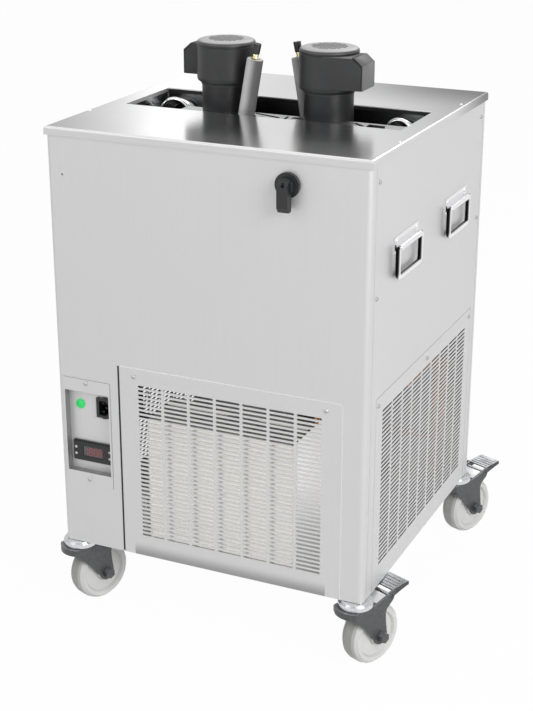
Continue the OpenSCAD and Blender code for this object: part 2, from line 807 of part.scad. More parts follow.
// Motor cover: drum with a tapered foot and a terminal box with a sloped lid
module motor_cover() {
    z0 = motor_low - cabinet_top;
    box_in = motor_d / 2 - 14;
    color("#2b2c2e") {
        rotate_extrude() {
            translate([0, z0]) square([pump_d / 2 + 0.5, seam_h]);
            polygon([
                [0, z0 + seam_h - over], [pump_d / 2, z0 + seam_h - over], [pump_d / 2 + 1, z0 + seam_h],
                [motor_d / 2 - 1, z0 + seam_h + 6], [motor_d / 2, z0 + seam_h + 9],
                [motor_d / 2, z0 + motor_h - 2], [motor_d / 2 - 2, z0 + motor_h], [0, z0 + motor_h]
            ]);
        }
        rotate([0, 0, box_turn]) translate([0, box_w / 2, z0 + motor_h - box_h]) rotate([90, 0, 0])
            linear_extrude(box_w) polygon([
                [box_in, 0], [box_reach, 0], [box_reach, box_h - box_fall],
                [box_reach - box_chamfer, box_h], [box_in, box_h]
            ]);
    }
}

// Vented cap: shallow dome with a grid of small holes
module vent_cap() {
    z0 = motor_top - cabinet_top;
    hole_step = 5.2;
    color("#55575a") difference() {
        rotate_extrude() {
            translate([0, z0]) square([vent_d / 2 - 4, vent_h]);
            translate([0, z0 + 2]) square([vent_d / 2, vent_h - 4.5]);
            translate([0, z0 + 1]) square([vent_d / 2 - 2.5, vent_h - 1]);
            intersection() {
                translate([0, z0 + vent_h + 2 - vent_dome_r]) circle(vent_dome_r, $fn = 360);
                translate([0, z0 + vent_h - 1]) square([vent_d / 2 - 4, 5]);
            }
        }
        for (i = [-5 : 5], j = [-5 : 5])
            if (norm([i, j]) < 5.6) translate([i * hole_step, j * hole_step, z0 + 2.5])
                cylinder(d = 2.8, h = 10, $fn = 16);
    }
}

// Agitator shaft with a six-vane impeller in the pump head
module pump_rotor() {
    low = head_low - cabinet_top;
    hub_low = low + (head_h - impeller_h) / 2;
    color("silver") {
        translate([0, 0, low + 9]) cylinder(d = shaft_d, h = pump_rise - low - 12);
        translate([0, 0, hub_low]) cylinder(d = 16, h = impeller_h);
        for (a = [0 : 60 : 300]) rotate([0, 0, a]) translate([6, -1, hub_low + 1])
            cube([impeller_d / 2 - 6, 2, impeller_h - 2]);
    }
}

// Left pump is the right one turned half a turn about the tank's middle
module at_pump(side) {
    translate([side * pump_x, 0, cabinet_top]) rotate([0, 0, side > 0 ? 0 : 180]) children();
}

module at_line(side) {
    at_pump(side) translate([line_x, line_y, 0]) rotate([0, -line_lean, 0]) children();
}

module pump_housing_left() { at_pump(-1) pump_housing(); }
module pump_housing_right() { at_pump(1) pump_housing(); }
module motor_cover_left() { at_pump(-1) motor_cover(); }
module motor_cover_right() { at_pump(1) motor_cover(); }
module vent_caps() { for (s = [-1, 1]) at_pump(s) vent_cap(); }
module pump_rotor_left() { at_pump(-1) pump_rotor(); }
module pump_rotor_right() { at_pump(1) pump_rotor(); }

module line_sleeves() {
    for (s = [-1, 1]) at_line(s) color("darkgray") difference() {
        translate([0, 0, -line_low]) cylinder(d = sleeve_d, h = line_low + line_top);
        translate([0, 0, -line_low - over]) cylinder(d = tube_d + 2 * seat, h = line_low + line_top + 2 * over);
    }
}

// Brass fitting on a tube that runs down inside the sleeve to the pump's outlet
module line_fittings() {
    foot = (outlet_top + seat + tube_d / 2 * sin(line_lean)) / cos(line_lean);
    for (s = [-1, 1]) color("goldenrod") at_line(s) {
        translate([0, 0, foot]) cylinder(d = tube_d, h = line_top - foot);
        translate([0, 0, line_top - over]) cylinder(d = 10.5, h = 9 + over + seat);
        translate([0, 0, line_top + seat + 1]) cylinder(d = 12.5, h = 4, $fn = 6);
    }
}

// Black cap that widens upwards
module line_caps() {
    for (s = [-1, 1]) at_line(s) color("#222325") rotate_extrude() polygon([
        [0, line_top + 9 + 2 * seat], [6.5, line_top + 9 + 2 * seat], [9.3, line_top + 9 + cap_len],
        [8.6, line_top + 10 + cap_len], [0, line_top + 10 + cap_len]
    ]);
}

// Finned condenser: comb of fins between two end plates, tubes through all
module condenser() {
    fins = floor((condenser_h - 6) / fin_step);
    pitch = (condenser_h - 6) / fins;
    translate([condenser_x, condenser_y, condenser_low]) {
        color("#c9c8c4") for (s = [-1, 1]) translate([s * (condenser_w - 2) / 2 - 1, 0, 0])
            cube([2, condenser_t, condenser_h]);
        color("#c9c8c4") for (k = [0 : fins]) translate([-condenser_w / 2 + 1, 3, 3 + k * pitch - fin_t / 2])
            cube([condenser_w - 2, condenser_t - 6, fin_t]);
        color("#b8651b") for (c = [0 : 2], r = [0 : 7])
            translate([-condenser_w / 2 - 6, 14 + c * 19, condenser_h / 16 * (2 * r + 1)]) rotate([0, 90, 0])
                cylinder(d = pipe_d, h = condenser_w + 12, $fn = 24);
    }
}

// Sheet shroud with a round throat for the fan and a foot on the tray
module fan_shroud() {
    color("#3a3b3d") translate([condenser_x, condenser_y + condenser_t + seat, condenser_low]) difference() {
        union() {
            translate([-condenser_w / 2, 0, 0]) cube([condenser_w, 22, condenser_h]);
            translate([0, 0, condenser_h / 2]) rotate([-90, 0, 0]) cylinder(d = fan_d + 10, h = 42);
        }
        translate([-condenser_w / 2 + 1.5, -over, 1.5]) cube([condenser_w - 3, 21.5, condenser_h - 3]);
        translate([0, -over, condenser_h / 2]) rotate([-90, 0, 0]) cylinder(d = fan_d + 7, h = 50);
    }
}

// Fan motor on a strap bracket that is fixed to the tray
module fan_motor() {
    back = fan_y + 58;
    color("#3a3b3d") translate([condenser_x, 0, 0]) difference() {
        union() {
            translate([0, fan_y + 18, fan_z]) rotate([-90, 0, 0]) cylinder(d = 84, h = 52);
            translate([0, fan_y + 18, fan_z]) rotate([90, 0, 0]) cylinder(d = 30, h = 6);
            translate([-20, back, condenser_low]) cube([40, 3, fan_z - condenser_low]);
            translate([-20, back, condenser_low]) cube([40, 30, 3]);
        }
        translate([0, fan_y - 20, fan_z]) rotate([-90, 0, 0]) cylinder(d = fan_shaft_d + 2 * running, h = 60);
    }
}

// Fan: hub, shaft and pitched blades
module fan_blades() {
    color("#8d9093") translate([condenser_x, fan_y, fan_z]) rotate([-90, 0, 0]) {
        translate([0, 0, -fan_hub_h / 2]) cylinder(d = fan_hub_d, h = fan_hub_h);
        translate([0, 0, -fan_hub_h / 2]) cylinder(d = fan_shaft_d, h = fan_shaft_len);
        for (k = [0 : blades - 1]) rotate([0, 0, k * 360 / blades]) intersection() {
            rotate([28, 0, 0]) translate([10, -32, -0.8]) cube([fan_d / 2, 64, 1.6]);
            translate([0, 0, -20]) cylinder(d = fan_d - 4, h = 40);
        }
    }
}

// Hermetic compressor: drawn shell with a weld belt, feet and terminal cover
module compressor() {
    r = compressor_d / 2;
    color("#1d1e20") translate([compressor_x, compressor_y, compressor_low]) {
        rotate_extrude() {
            intersection() {
                union() {
                    translate([0, 8 + 45]) square([r, compressor_h - 98]);
                    translate([0, 8 + 45]) circle(r * 0.999);
                    translate([0, compressor_h - 45]) circle(r * 0.999);
                }
                translate([0, 12]) square([r + 5, compressor_h - 20]);
            }
            translate([0, compressor_h / 2 - 4]) square([r + 4, 5]);
        }
        for (x = [-1, 1]) translate([x * (r - 12) - 15, -r, 0]) cube([30, 2 * r, 3]);
        for (x = [-1, 1]) translate([x * (r - 27) - 15, -30, 0]) cube([30, 60, 26]);
        translate([-22, -r - 14, 70]) cube([44, 26, 52]);
        for (p = stubs) translate([r - 20, p[0], p[1]]) rotate([0, 90, 0]) cylinder(d = 14, h = 20 + stub_len);
    }
}

// Copper pipe: list of straight runs joined by ball elbows
module pipe_run(points, d) {
    for (i = [0 : len(points) - 2]) {
        run = points[i + 1] - points[i];
        length = norm(run);
        turn = atan2(run[1], run[0]);
        tilt = acos(run[2] / length);
        translate(points[i]) rotate([0, tilt, turn]) cylinder(d = d, h = length, $fn = 24);
        if (i > 0) translate(points[i]) sphere(d = d, $fn = 24);
    }
}

module refrigerant_pipes() {
    port_low = tank_bottom - 4 - seat;
    run_z = shelf_z - 62;
    high_z = shelf_z - 16;
    side_x = half_w - 25;
    right = coil_ports[1];
    left = coil_ports[0];
    tube_y = condenser_y + 33;
    tube_z = condenser_low + condenser_h * 15 / 16;
    stub_x = compressor_x + compressor_d / 2 + stub_len + seat;
    near_y = compressor_y + stubs[0][0];
    far_y = compressor_y + stubs[1][0];
    color("#b8651b") {
        // Suction line: from the right evaporator down beside the grille to the compressor
        pipe_run([
            [right[0], right[1], port_low], [right[0], right[1], run_z], [right[0], -10, run_z],
            [side_x, -10, run_z], [side_x, near_y, run_z], [side_x, near_y, compressor_low + stubs[0][1]],
            [stub_x, near_y, compressor_low + stubs[0][1]]
        ], pipe_d);
        // Discharge line: from the compressor up and forward to the condenser
        pipe_run([
            [stub_x, far_y, compressor_low + stubs[1][1]], [side_x, far_y, compressor_low + stubs[1][1]],
            [side_x, far_y, run_z - 19], [side_x - 85, far_y, run_z - 19], [side_x - 85, far_y, high_z],
            [condenser_x + condenser_w / 2 + 24, far_y, high_z], [condenser_x + condenser_w / 2 + 24, tube_y, high_z],
            [condenser_x + condenser_w / 2 + 24, tube_y, tube_z],
            [condenser_x + condenser_w / 2 + 6 + seat, tube_y, tube_z]
        ], pipe_d);
        // Liquid line: from the condenser past the drier to the left evaporator
        pipe_run([
            [left[0], left[1], port_low], [left[0], left[1], high_z], [liquid_x, left[1], high_z],
            [liquid_x, tube_y, high_z], [liquid_x, tube_y, tube_z],
            [condenser_x - condenser_w / 2 - 6 - seat, tube_y, tube_z]
        ], pipe_d);
        translate([liquid_x, -40, high_z]) rotate([90, 0, 0]) cylinder(d = 22, h = 76);
    }
}

// Chest handle on the right side: plate with a rolled barrel for the bail
module handle_plate(side, y) {
    color("lightgray") translate([side * half_w, y, handle_top]) scale([side, 1, 1]) difference() {
        union() {
            translate([0, -handle_w / 2, -handle_plate_h]) cube([handle_plate_t, handle_w, handle_plate_h]);
            translate([bail_out, 0, -barrel_drop]) rotate([90, 0, 0])
                cylinder(d = barrel_d, h = barrel_len, center = true);
            translate([0, -barrel_len / 2, -barrel_drop - barrel_d / 2]) cube([bail_out, barrel_len, barrel_d]);
        }
        translate([bail_out, 0, -barrel_drop]) rotate([90, 0, 0])
            cylinder(d = bail_pin_d + 2 * running, h = handle_w, center = true);
    }
}

// Bail: bent rod with two arms, a grip and the pins in the barrel
module handle_bail(side, y) {
    arm_y = bail_arm_y;
    bend = bail_d;
    color("whitesmoke") translate([side * (half_w + bail_out), y, handle_top - barrel_drop]) {
        for (s = [-1, 1]) {
            translate([0, s * arm_y, bend - bail_drop]) cylinder(d = bail_d, h = bail_drop - bend);
            translate([0, s * arm_y, 0]) sphere(d = bail_d);
            translate([0, s * (arm_y - 6), 0]) rotate([90, 0, 0]) cylinder(d = bail_pin_d, h = 12, center = true);
            translate([0, s * (arm_y - bend), bend - bail_drop]) rotate([0, 90, 0])
                rotate([0, 0, s > 0 ? 0 : -90]) rotate_extrude(angle = 90) translate([bend, 0]) circle(d = bail_d);
        }
        translate([0, 0, -bail_drop]) rotate([90, 0, 0]) cylinder(d = bail_d, h = 2 * (arm_y - bend), center = true);
    }
}

handle_places = [for (side = [1, -1], s = [-1, 1]) [side, handle_mid_y + s * handle_pitch / 2]];
module handle_plates() { for (p = handle_places) handle_plate(p[0], p[1]); }
module handle_bail_1() { handle_bail(handle_places[0][0], handle_places[0][1]); }
module handle_bail_2() { handle_bail(handle_places[1][0], handle_places[1][1]); }
module handle_bail_3() { handle_bail(handle_places[2][0], handle_places[2][1]); }
module handle_bail_4() { handle_bail(handle_places[3][0], handle_places[3][1]); }

// Swivel axes of the castors, front left first
castor_places = [for (y = [-1, 1], x = [-1, 1]) [x * castor_place, y * castor_place]];
module at_castor(i) {
    translate([castor_places[i][0], castor_places[i][1], 0]) rotate([0, 0, castor_turn]) children();
}

// Bearing races under the tray, with stems bolted through its corners
module castor_races() {
    for (p = castor_places) translate([p[0], p[1], 0]) color("silver") {
        difference() {
            rotate_extrude() {
                translate([0, race_low]) square([race_d / 2 - 3, race_top - race_low]);
                translate([0, race_low + 1.6]) square([race_d / 2, 6.4]);
                translate([0, race_low + 0.6]) square([race_d / 2 - 1, 8.6]);
                translate([0, race_low + 4]) square([13.5, castor_h - race_low - 4]);
                translate([0, race_low + 4]) square([stem_d / 2, castor_h + stem_len - race_low - 4]);
            }
            translate([0, 0, race_low - over]) cylinder(d = kingpin_d + 2 * running, h = kingpin_h + seat + over);
        }
        difference() {
            translate([0, 0, castor_h + frame_t]) cylinder(d = nut_d, h = 9, $fn = 6);
            translate([0, 0, castor_h]) cylinder(d = stem_d + 0.2, h = 20);
        }
    }
}

// Side wall of the fork, seen along the axle
module fork_side() {
    polygon([
        [fork_front, fork_top - 1], [fork_front, fork_top - fork_skirt], [-10, fork_top - 25.7],
        [0, wheel_r + 24], [9, wheel_r + 13], [14, wheel_r + 4], [castor_trail - 10, wheel_r - 6],
        [castor_trail + 12, wheel_r - 4], [castor_trail + 13.5, wheel_r + 2],
        [castor_trail + 10.5, wheel_r + 22], [castor_trail + 9.6, fork_top - 21.8],
        [castor_trail + 12.2, fork_top - 14.9], [castor_trail + 19, fork_top - 9.7],
        [castor_trail + 26, fork_top - 4.5], [castor_trail + 30.3, fork_top + 4.4],
        [castor_trail + 29.5, fork_top + 10.3], [castor_trail + 24, fork_top + 10.8],
        [castor_trail + 13, fork_top + 6.1], [24, fork_top + 0.5], [22, fork_top - 1]
    ]);
    translate([castor_trail, wheel_r]) circle(13.5);
}

// Fork pressed from sheet: top with a rounded skirt, two tapered walls, a sloped
// bridge behind the race, the kingpin and the axle bolt
module castor_fork() {
    span = 2 * (fork_in + fork_t);
    color("#55575b") {
        difference() {
            union() {
                translate([0, 0, fork_top - fork_t]) linear_extrude(fork_t) {
                    intersection() {
                        circle(fork_nose, $fn = 72);
                        square([span, 2 * fork_nose], center = true);
                    }
                    translate([-span / 2, 0]) square([span, 30]);
                }
                translate([0, 0, fork_top - fork_skirt]) linear_extrude(fork_skirt - 0.5) intersection() {
                    difference() {
                        circle(fork_nose, $fn = 72);
                        circle(fork_nose - fork_t, $fn = 72);
                    }
                    translate([-span / 2, -fork_nose]) square([span, fork_nose - 19]);
                }
                for (s = [-1, 1]) translate([s * (fork_in + fork_t / 2) - fork_t / 2, 0, 0]) rotate([90, 0, 90])
                    linear_extrude(fork_t) fork_side();
                translate([-fork_in - 0.5, 0, 0]) rotate([90, 0, 90]) linear_extrude(2 * fork_in + 1) polygon([
                    [24, fork_top - 1], [castor_trail + 13, fork_top + 5.2], [castor_trail + 13, fork_top + 2.2],
                    [29, fork_top - fork_t]
                ]);
                translate([-16.5, 0, 0]) rotate([90, 0, 90]) linear_extrude(33) polygon([
                    [castor_trail + 10, fork_top + 1.5], [castor_trail + 13, fork_top + 4],
                    [castor_trail + 18, fork_top - 4.5], [castor_trail + 28, fork_top - 5.5],
                    [castor_trail + 28, fork_top - 8], [castor_trail + 16, fork_top - 7]
                ]);
            }
            translate([-60, castor_trail, wheel_r]) rotate([0, 90, 0]) cylinder(d = axle_d + 2 * seat, h = 120);
            for (s = [-1, 1]) translate([s * (fork_in + fork_t / 2) - fork_t, pedal_y, pedal_z])
                rotate([0, 90, 0]) cylinder(d = pedal_pin_d + 2 * running, h = 2 * fork_t);
        }
        translate([0, 0, fork_top - fork_t]) cylinder(d = kingpin_d, h = kingpin_h + fork_t);
    }
    color("silver") translate([0, castor_trail, wheel_r]) rotate([0, 90, 0]) {
        cylinder(d = axle_d, h = 2 * (fork_in + fork_t + seat) + 2, center = true);
        for (s = [-1, 1]) translate([0, 0, s * (fork_in + fork_t + seat + 4.5)])
            cylinder(d = 18, h = 9, center = true, $fn = 6);
    }
}

// Wheel: one turned form with a rounded tread, web and hub
module castor_wheel() {
    half = wheel_w / 2;
    color("whitesmoke") translate([0, castor_trail, wheel_r]) rotate([0, 90, 0]) rotate_extrude($fn = 96) polygon([
        [axle_d / 2 + running, -half - 2], [15, -half - 2], [17, -half + 3], [wheel_r - 15, -half + 5],
        [wheel_r - 12, -half + 1], [wheel_r - 6, -half], [wheel_r - 1.5, -half + 5], [wheel_r, -half + 10],
        [wheel_r, half - 10], [wheel_r - 1.5, half - 5], [wheel_r - 6, half], [wheel_r - 12, half - 1],
        [wheel_r - 15, half - 5], [17, half - 3], [15, half + 2], [axle_d / 2 + running, half + 2]
    ]);
}

// Brake pedal: ribbed tread between two flanges, hung on a pin between the walls
module castor_pedal() {
    ear = fork_in - 0.5;
    color("#b9bcc0") translate([0, pedal_y, pedal_z]) {
        rotate([0, 90, 0]) cylinder(d = pedal_pin_d, h = 2 * (fork_in + fork_t) - 1, center = true);
        for (s = [-1, 1]) translate([s * (ear - 1.25) - 1.25, 0, 0]) rotate([90, 0, 90])
            linear_extrude(2.5) {
                circle(5.5);
                polygon([[0, -5.5], [9, -5], [24, -1], [41.5, 2.8], [42.5, 8], [6, 6.6], [0, 5.4]]);
            }
        translate([-pedal_w / 2, 0, 0]) rotate([90, 0, 90]) linear_extrude(pedal_w)
            polygon([[6, 7.3], [40, 9.2], [43, 8.3], [43, 2.6], [41, 2.6], [40.6, 7], [6.2, 5.1]]);
        for (k = [0 : 3]) translate([3 - pedal_w / 2, 11 + k * 7, 6.9 + k * 0.4]) cube([pedal_w - 6, 3, 1.2]);
    }
}

module castor_fork_1() { at_castor(0) castor_fork(); }
module castor_fork_2() { at_castor(1) castor_fork(); }
module castor_fork_3() { at_castor(2) castor_fork(); }
module castor_fork_4() { at_castor(3) castor_fork(); }
module castor_wheel_1() { at_castor(0) castor_wheel(); }
module castor_wheel_2() { at_castor(1) castor_wheel(); }
module castor_wheel_3() { at_castor(2) castor_wheel(); }
module castor_wheel_4() { at_castor(3) castor_wheel(); }
module castor_pedal_1() { at_castor(0) castor_pedal(); }
module castor_pedal_2() { at_castor(1) castor_pedal(); }
module castor_pedal_3() { at_castor(2) castor_pedal(); }
module castor_pedal_4() { at_castor(3) castor_pedal(); }

chassis();
front_panel();
right_panel();
left_panel();
back_panel();
top_frame();
front_grille();
right_grille();
left_grille();
panel_screws();
control_cover();
control_box();
pilot_lamp();
power_inlet();
controller_case();
display_window();
controller_button_1();
controller_button_2();
controller_button_3();
controller_button_4();
lever_base();
lever();
tank();
insulation();
evaporator_coil();
pump_bridge();
pump_housing_left();
pump_housing_right();
motor_cover_left();
motor_cover_right();
vent_caps();
pump_rotor_left();
pump_rotor_right();
line_sleeves();
line_fittings();
line_caps();
condenser();
fan_shroud();
fan_motor();
fan_blades();
compressor();
refrigerant_pipes();
handle_plates();
handle_bail_1();
handle_bail_2();
handle_bail_3();
handle_bail_4();
castor_races();
castor_fork_1();
castor_fork_2();
castor_fork_3();
castor_fork_4();
castor_wheel_1();
castor_wheel_2();
castor_wheel_3();
castor_wheel_4();
castor_pedal_1();
castor_pedal_2();
castor_pedal_3();
castor_pedal_4();
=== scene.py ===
import math

import bmesh
import bpy
from mathutils import Matrix, Vector


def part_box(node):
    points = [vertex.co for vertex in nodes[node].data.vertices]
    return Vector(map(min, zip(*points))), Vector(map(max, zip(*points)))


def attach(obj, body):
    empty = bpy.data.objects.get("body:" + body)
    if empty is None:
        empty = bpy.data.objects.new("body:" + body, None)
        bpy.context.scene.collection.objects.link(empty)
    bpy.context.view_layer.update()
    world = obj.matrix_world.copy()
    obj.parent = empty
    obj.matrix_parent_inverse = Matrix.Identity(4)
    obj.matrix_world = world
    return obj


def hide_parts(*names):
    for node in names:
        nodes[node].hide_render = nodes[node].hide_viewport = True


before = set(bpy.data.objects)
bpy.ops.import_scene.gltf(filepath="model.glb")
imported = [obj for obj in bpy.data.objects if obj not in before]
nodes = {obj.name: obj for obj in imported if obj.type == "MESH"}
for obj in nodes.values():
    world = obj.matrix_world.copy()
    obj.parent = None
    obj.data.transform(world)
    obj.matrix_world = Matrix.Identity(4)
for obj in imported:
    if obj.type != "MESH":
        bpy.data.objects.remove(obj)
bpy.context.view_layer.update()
scene = bpy.context.scene
mm = 0.001
weldDistance = 1e-6
sharpAngle = math.radians(34)
sides = ("left", "right")
print("cabinet loaded:", len(nodes), "nodes")

view = {"place": (0.9688, -2.1482, 1.2947), "down": 20.945, "turn": 24.674,
        "lens": 102.93, "sensor": 36, "far": 50}

cameraData = bpy.data.cameras.new("productCamera")
cameraData.sensor_width = view["sensor"]
cameraData.sensor_fit = "HORIZONTAL"
cameraData.lens = view["lens"]
cameraData.clip_end = view["far"]
camera = bpy.data.objects.new("productCamera", cameraData)
camera.location = view["place"]
camera.rotation_euler = (math.radians(90 - view["down"]), 0, math.radians(view["turn"]))
scene.collection.objects.link(camera)
scene.camera = camera
scene.view_settings.view_transform = "Standard"
print("camera set")

floatKind, vectorKind, colourKind = "NodeSocketFloat", "NodeSocketVector", "NodeSocketColor"


def setSockets(tree, node, values):
    # A socket is given a value of its own, or a link from another socket
    for key, value in values.items():
        if isinstance(value, bpy.types.NodeSocket):
            tree.links.new(value, node.inputs[key])
        else:
            node.inputs[key].default_value = value
    return node


def addNode(tree, kind, sockets=None, **values):
    node = tree.nodes.new(kind)
    for key, value in values.items():
        setattr(node, key, value)
    return setSockets(tree, node, sockets or {})


def newGroup(name, inputs, outputs):
    tree = bpy.data.node_groups.new(name, "ShaderNodeTree")
    for label, kind, value in inputs:
        socket = tree.interface.new_socket(name=label, in_out="INPUT", socket_type=kind)
        socket.default_value = value
    for label, kind in outputs:
        tree.interface.new_socket(name=label, in_out="OUTPUT", socket_type=kind)
    return tree, addNode(tree, "NodeGroupInput").outputs, addNode(tree, "NodeGroupOutput")


def useGroup(tree, group, **values):
    return addNode(tree, "ShaderNodeGroup", values, node_tree=group).outputs


def coordinate(tree, space="Object"):
    return addNode(tree, "ShaderNodeTexCoord").outputs[space]


def axisOf(tree, axis, space="Object"):
    # Place on the object along one axis, or with Normal how far its surface faces that way
    return addNode(tree, "ShaderNodeSeparateXYZ", {0: coordinate(tree, space)}).outputs[axis]


def calculate(tree, operation, first, second):
    return addNode(tree, "ShaderNodeMath", {0: first, 1: second}, operation=operation).outputs[0]


def product(tree, *factors):
    result = factors[0]
    for factor in factors[1:]:
        result = calculate(tree, "MULTIPLY", result, factor)
    return result


def dotProduct(tree, first, second):
    node = addNode(tree, "ShaderNodeVectorMath", {0: first, 1: second}, operation="DOT_PRODUCT")
    return node.outputs["Value"]


def ramp(tree, value, source, result=(0, 1), smooth=True):
    # Carries a value from one range to another; each limit is a number or a socket
    limits = dict(zip(("From Min", "From Max", "To Min", "To Max"), (*source, *result)))
    kind = "SMOOTHSTEP" if smooth else "LINEAR"
    node = addNode(tree, "ShaderNodeMapRange", {"Value": value, **limits}, interpolation_type=kind)
    return node.outputs["Result"]


def level(tree, mask, low, high):
    # Low where the mask is nought and high where it is one
    return ramp(tree, mask, (0, 1), (low, high), smooth=False)


def fade(tree, axis, start, end, low, high):
    # Runs from low to high between two places along an axis of the object
    return ramp(tree, axisOf(tree, axis), (start, end), (low, high))


def mixColours(tree, factor, first, second, blend="MIX"):
    first, second = (end if isinstance(end, bpy.types.NodeSocket) else (*end, 1) for end in (first, second))
    sockets = {"Factor": factor, 6: first, 7: second}
    return addNode(tree, "ShaderNodeMix", sockets, data_type="RGBA", blend_type=blend).outputs[2]


def shadeOf(tree, texture, tone):
    # Shade of a texture, from one less its tone where it is low up to one where it is high
    return ramp(tree, texture, (0.3, 0.7), (calculate(tree, "SUBTRACT", 1, tone), 1), smooth=False)


def makeBrushedGrain():
    # Long fine scratches; Stretch is small along the brushing and large across it
    tree, given, end = newGroup(
        "brushedGrain",
        [("Stretch", vectorKind, (4, 900, 900)), ("Depth", floatKind, 0.5), ("Tone", floatKind, 0.05)],
        [("Height", floatKind), ("Shade", floatKind)],
    )
    sockets = {0: coordinate(tree), 1: given["Stretch"]}
    stretched = addNode(tree, "ShaderNodeVectorMath", sockets, operation="MULTIPLY").outputs[0]
    noise = addNode(tree, "ShaderNodeTexNoise", {"Vector": stretched, "Scale": 1, "Detail": 3}).outputs["Fac"]
    height = product(tree, noise, given["Depth"])
    setSockets(tree, end, {"Height": height, "Shade": shadeOf(tree, noise, given["Tone"])})
    return tree


def makeSmudge():
    # Roughness of soft uneven patches from handling and cleaning
    tree, given, end = newGroup(
        "smudge",
        [("Size", floatKind, 6.0), ("Clean", floatKind, 0.3), ("Worn", floatKind, 0.4)],
        [("Roughness", floatKind)],
    )
    sockets = {"Vector": coordinate(tree), "Scale": given["Size"], "Detail": 4, "Roughness": 0.55}
    noise = addNode(tree, "ShaderNodeTexNoise", sockets).outputs["Fac"]
    patch = ramp(tree, noise, (0.35, 0.68))
    setSockets(tree, end, {"Roughness": level(tree, patch, given["Clean"], given["Worn"])})
    return tree


def makeMouldedSkin():
    # Fine even bumps of moulded plastic, foam or cast paint
    tree, given, end = newGroup(
        "mouldedSkin",
        [("Fineness", floatKind, 900.0), ("Depth", floatKind, 0.5), ("Tone", floatKind, 0.1)],
        [("Height", floatKind), ("Shade", floatKind)],
    )
    place = coordinate(tree)
    cells = addNode(tree, "ShaderNodeTexVoronoi", {"Vector": place, "Scale": given["Fineness"]})
    cloud = addNode(tree, "ShaderNodeTexNoise", {"Vector": place, "Scale": 35, "Detail": 5}).outputs["Fac"]
    height = product(tree, cells.outputs["Distance"], given["Depth"])
    setSockets(tree, end, {"Height": height, "Shade": shadeOf(tree, cloud, given["Tone"])})
    return tree


def makePaintedUpperSheen():
    # Faces that look up get a paler colour, a painted sheen of overhead light; the rest keep their colour
    tree, given, end = newGroup(
        "paintedUpperSheen",
        [("Colour", colourKind, (0.02, 0.02, 0.02, 1)), ("Pale", colourKind, (0.6, 0.6, 0.6, 1)),
         ("Lean", floatKind, 0.8), ("Flat", floatKind, 0.97)],
        [("Colour", colourKind), ("Mask", floatKind)],
    )
    mask = ramp(tree, axisOf(tree, "Z", "Normal"), (given["Lean"], given["Flat"]))
    setSockets(tree, end, {"Colour": mixColours(tree, mask, given["Colour"], given["Pale"]), "Mask": mask})
    return tree


def makeHeightBand():
    # One between two heights of the object and nothing elsewhere
    tree, given, end = newGroup(
        "heightBand",
        [("Low", floatKind, 0.0), ("High", floatKind, 1.0)],
        [("Mask", floatKind)],
    )
    height = axisOf(tree, "Z")
    above = calculate(tree, "GREATER_THAN", height, given["Low"])
    below = calculate(tree, "LESS_THAN", height, given["High"])
    setSockets(tree, end, {"Mask": product(tree, above, below)})
    return tree


def makeFacingShade():
    # Full tone on faces turned to the light, less on those turned away from it
    tree, given, end = newGroup(
        "facingShade",
        [("Light", vectorKind, (-0.8, -0.6, 0.0)), ("Dark", floatKind, 0.4), ("Lit", floatKind, 1.0),
         ("From", floatKind, -0.35), ("Full", floatKind, 0.95)],
        [("Tone", floatKind)],
    )
    towards = dotProduct(tree, coordinate(tree, "Normal"), given["Light"])
    tone = ramp(tree, towards, (given["From"], given["Full"]), (given["Dark"], given["Lit"]))
    setSockets(tree, end, {"Tone": tone})
    return tree


brushedGrain = makeBrushedGrain()
smudge = makeSmudge()
mouldedSkin = makeMouldedSkin()
paintedUpperSheen = makePaintedUpperSheen()
heightBand = makeHeightBand()
facingShade = makeFacingShade()
reliefDepth = {"grain": 0.0004, "skin": 0.0006}


def startMaterial(name, metallic=0.0):
    material = bpy.data.materials.new(name)
    material.use_nodes = True
    shader = material.node_tree.nodes["Principled BSDF"]
    shader.inputs["Metallic"].default_value = metallic
    return material, material.node_tree, shader


def relief(tree, shader, height, strength, depth):
    sockets = {"Strength": strength, "Distance": depth, "Height": height}
    setSockets(tree, shader, {"Normal": addNode(tree, "ShaderNodeBump", sockets).outputs["Normal"]})


def brush(tree, shader, stretch, depth, tone, bump=0.06):
    # Brushed relief on the shader; hands back the shade that goes with it
    grain = useGroup(tree, brushedGrain, Stretch=stretch, Depth=depth, Tone=tone)
    relief(tree, shader, grain["Height"], bump, reliefDepth["grain"])
    return grain["Shade"]


def mould(tree, shader, tone, fineness=1100.0, depth=0.5, bump=0.12):
    # Moulded relief on the shader, or none where bump is nought; hands back its shade
    skin = useGroup(tree, mouldedSkin, Fineness=fineness, Depth=depth, Tone=tone)
    if bump:
        relief(tree, shader, skin["Height"], bump, reliefDepth["skin"])
    return skin["Shade"]


def wear(tree, clean, worn, size=18.0):
    return useGroup(tree, smudge, Size=size, Clean=clean, Worn=worn)["Roughness"]


def paint(tree, shader, colour, shade, roughness, glow=0.0):
    # Colour times its shade; glow lights the piece faintly in the same colour
    body = mixColours(tree, 1, colour, shade, "MULTIPLY")
    setSockets(tree, shader, {"Base Color": body, "Roughness": roughness})
    if glow:
        setSockets(tree, shader, {"Emission Color": body, "Emission Strength": glow})


def steel(name, colour, metallic, clean, worn, stretch, depth, tone, size,
          bump=0.06, facing=None, run=None, glow=0.0):
    # Facing shades it by the way it faces, run from low to high along an axis
    material, tree, shader = startMaterial(name, metallic)
    shade = brush(tree, shader, stretch, depth, tone, bump)
    if facing:
        shade = product(tree, shade, useGroup(tree, facingShade, **facing)["Tone"])
    if run:
        shade = product(tree, shade, fade(tree, *run))
    paint(tree, shader, colour, shade, wear(tree, clean, worn, size), glow)
    return material


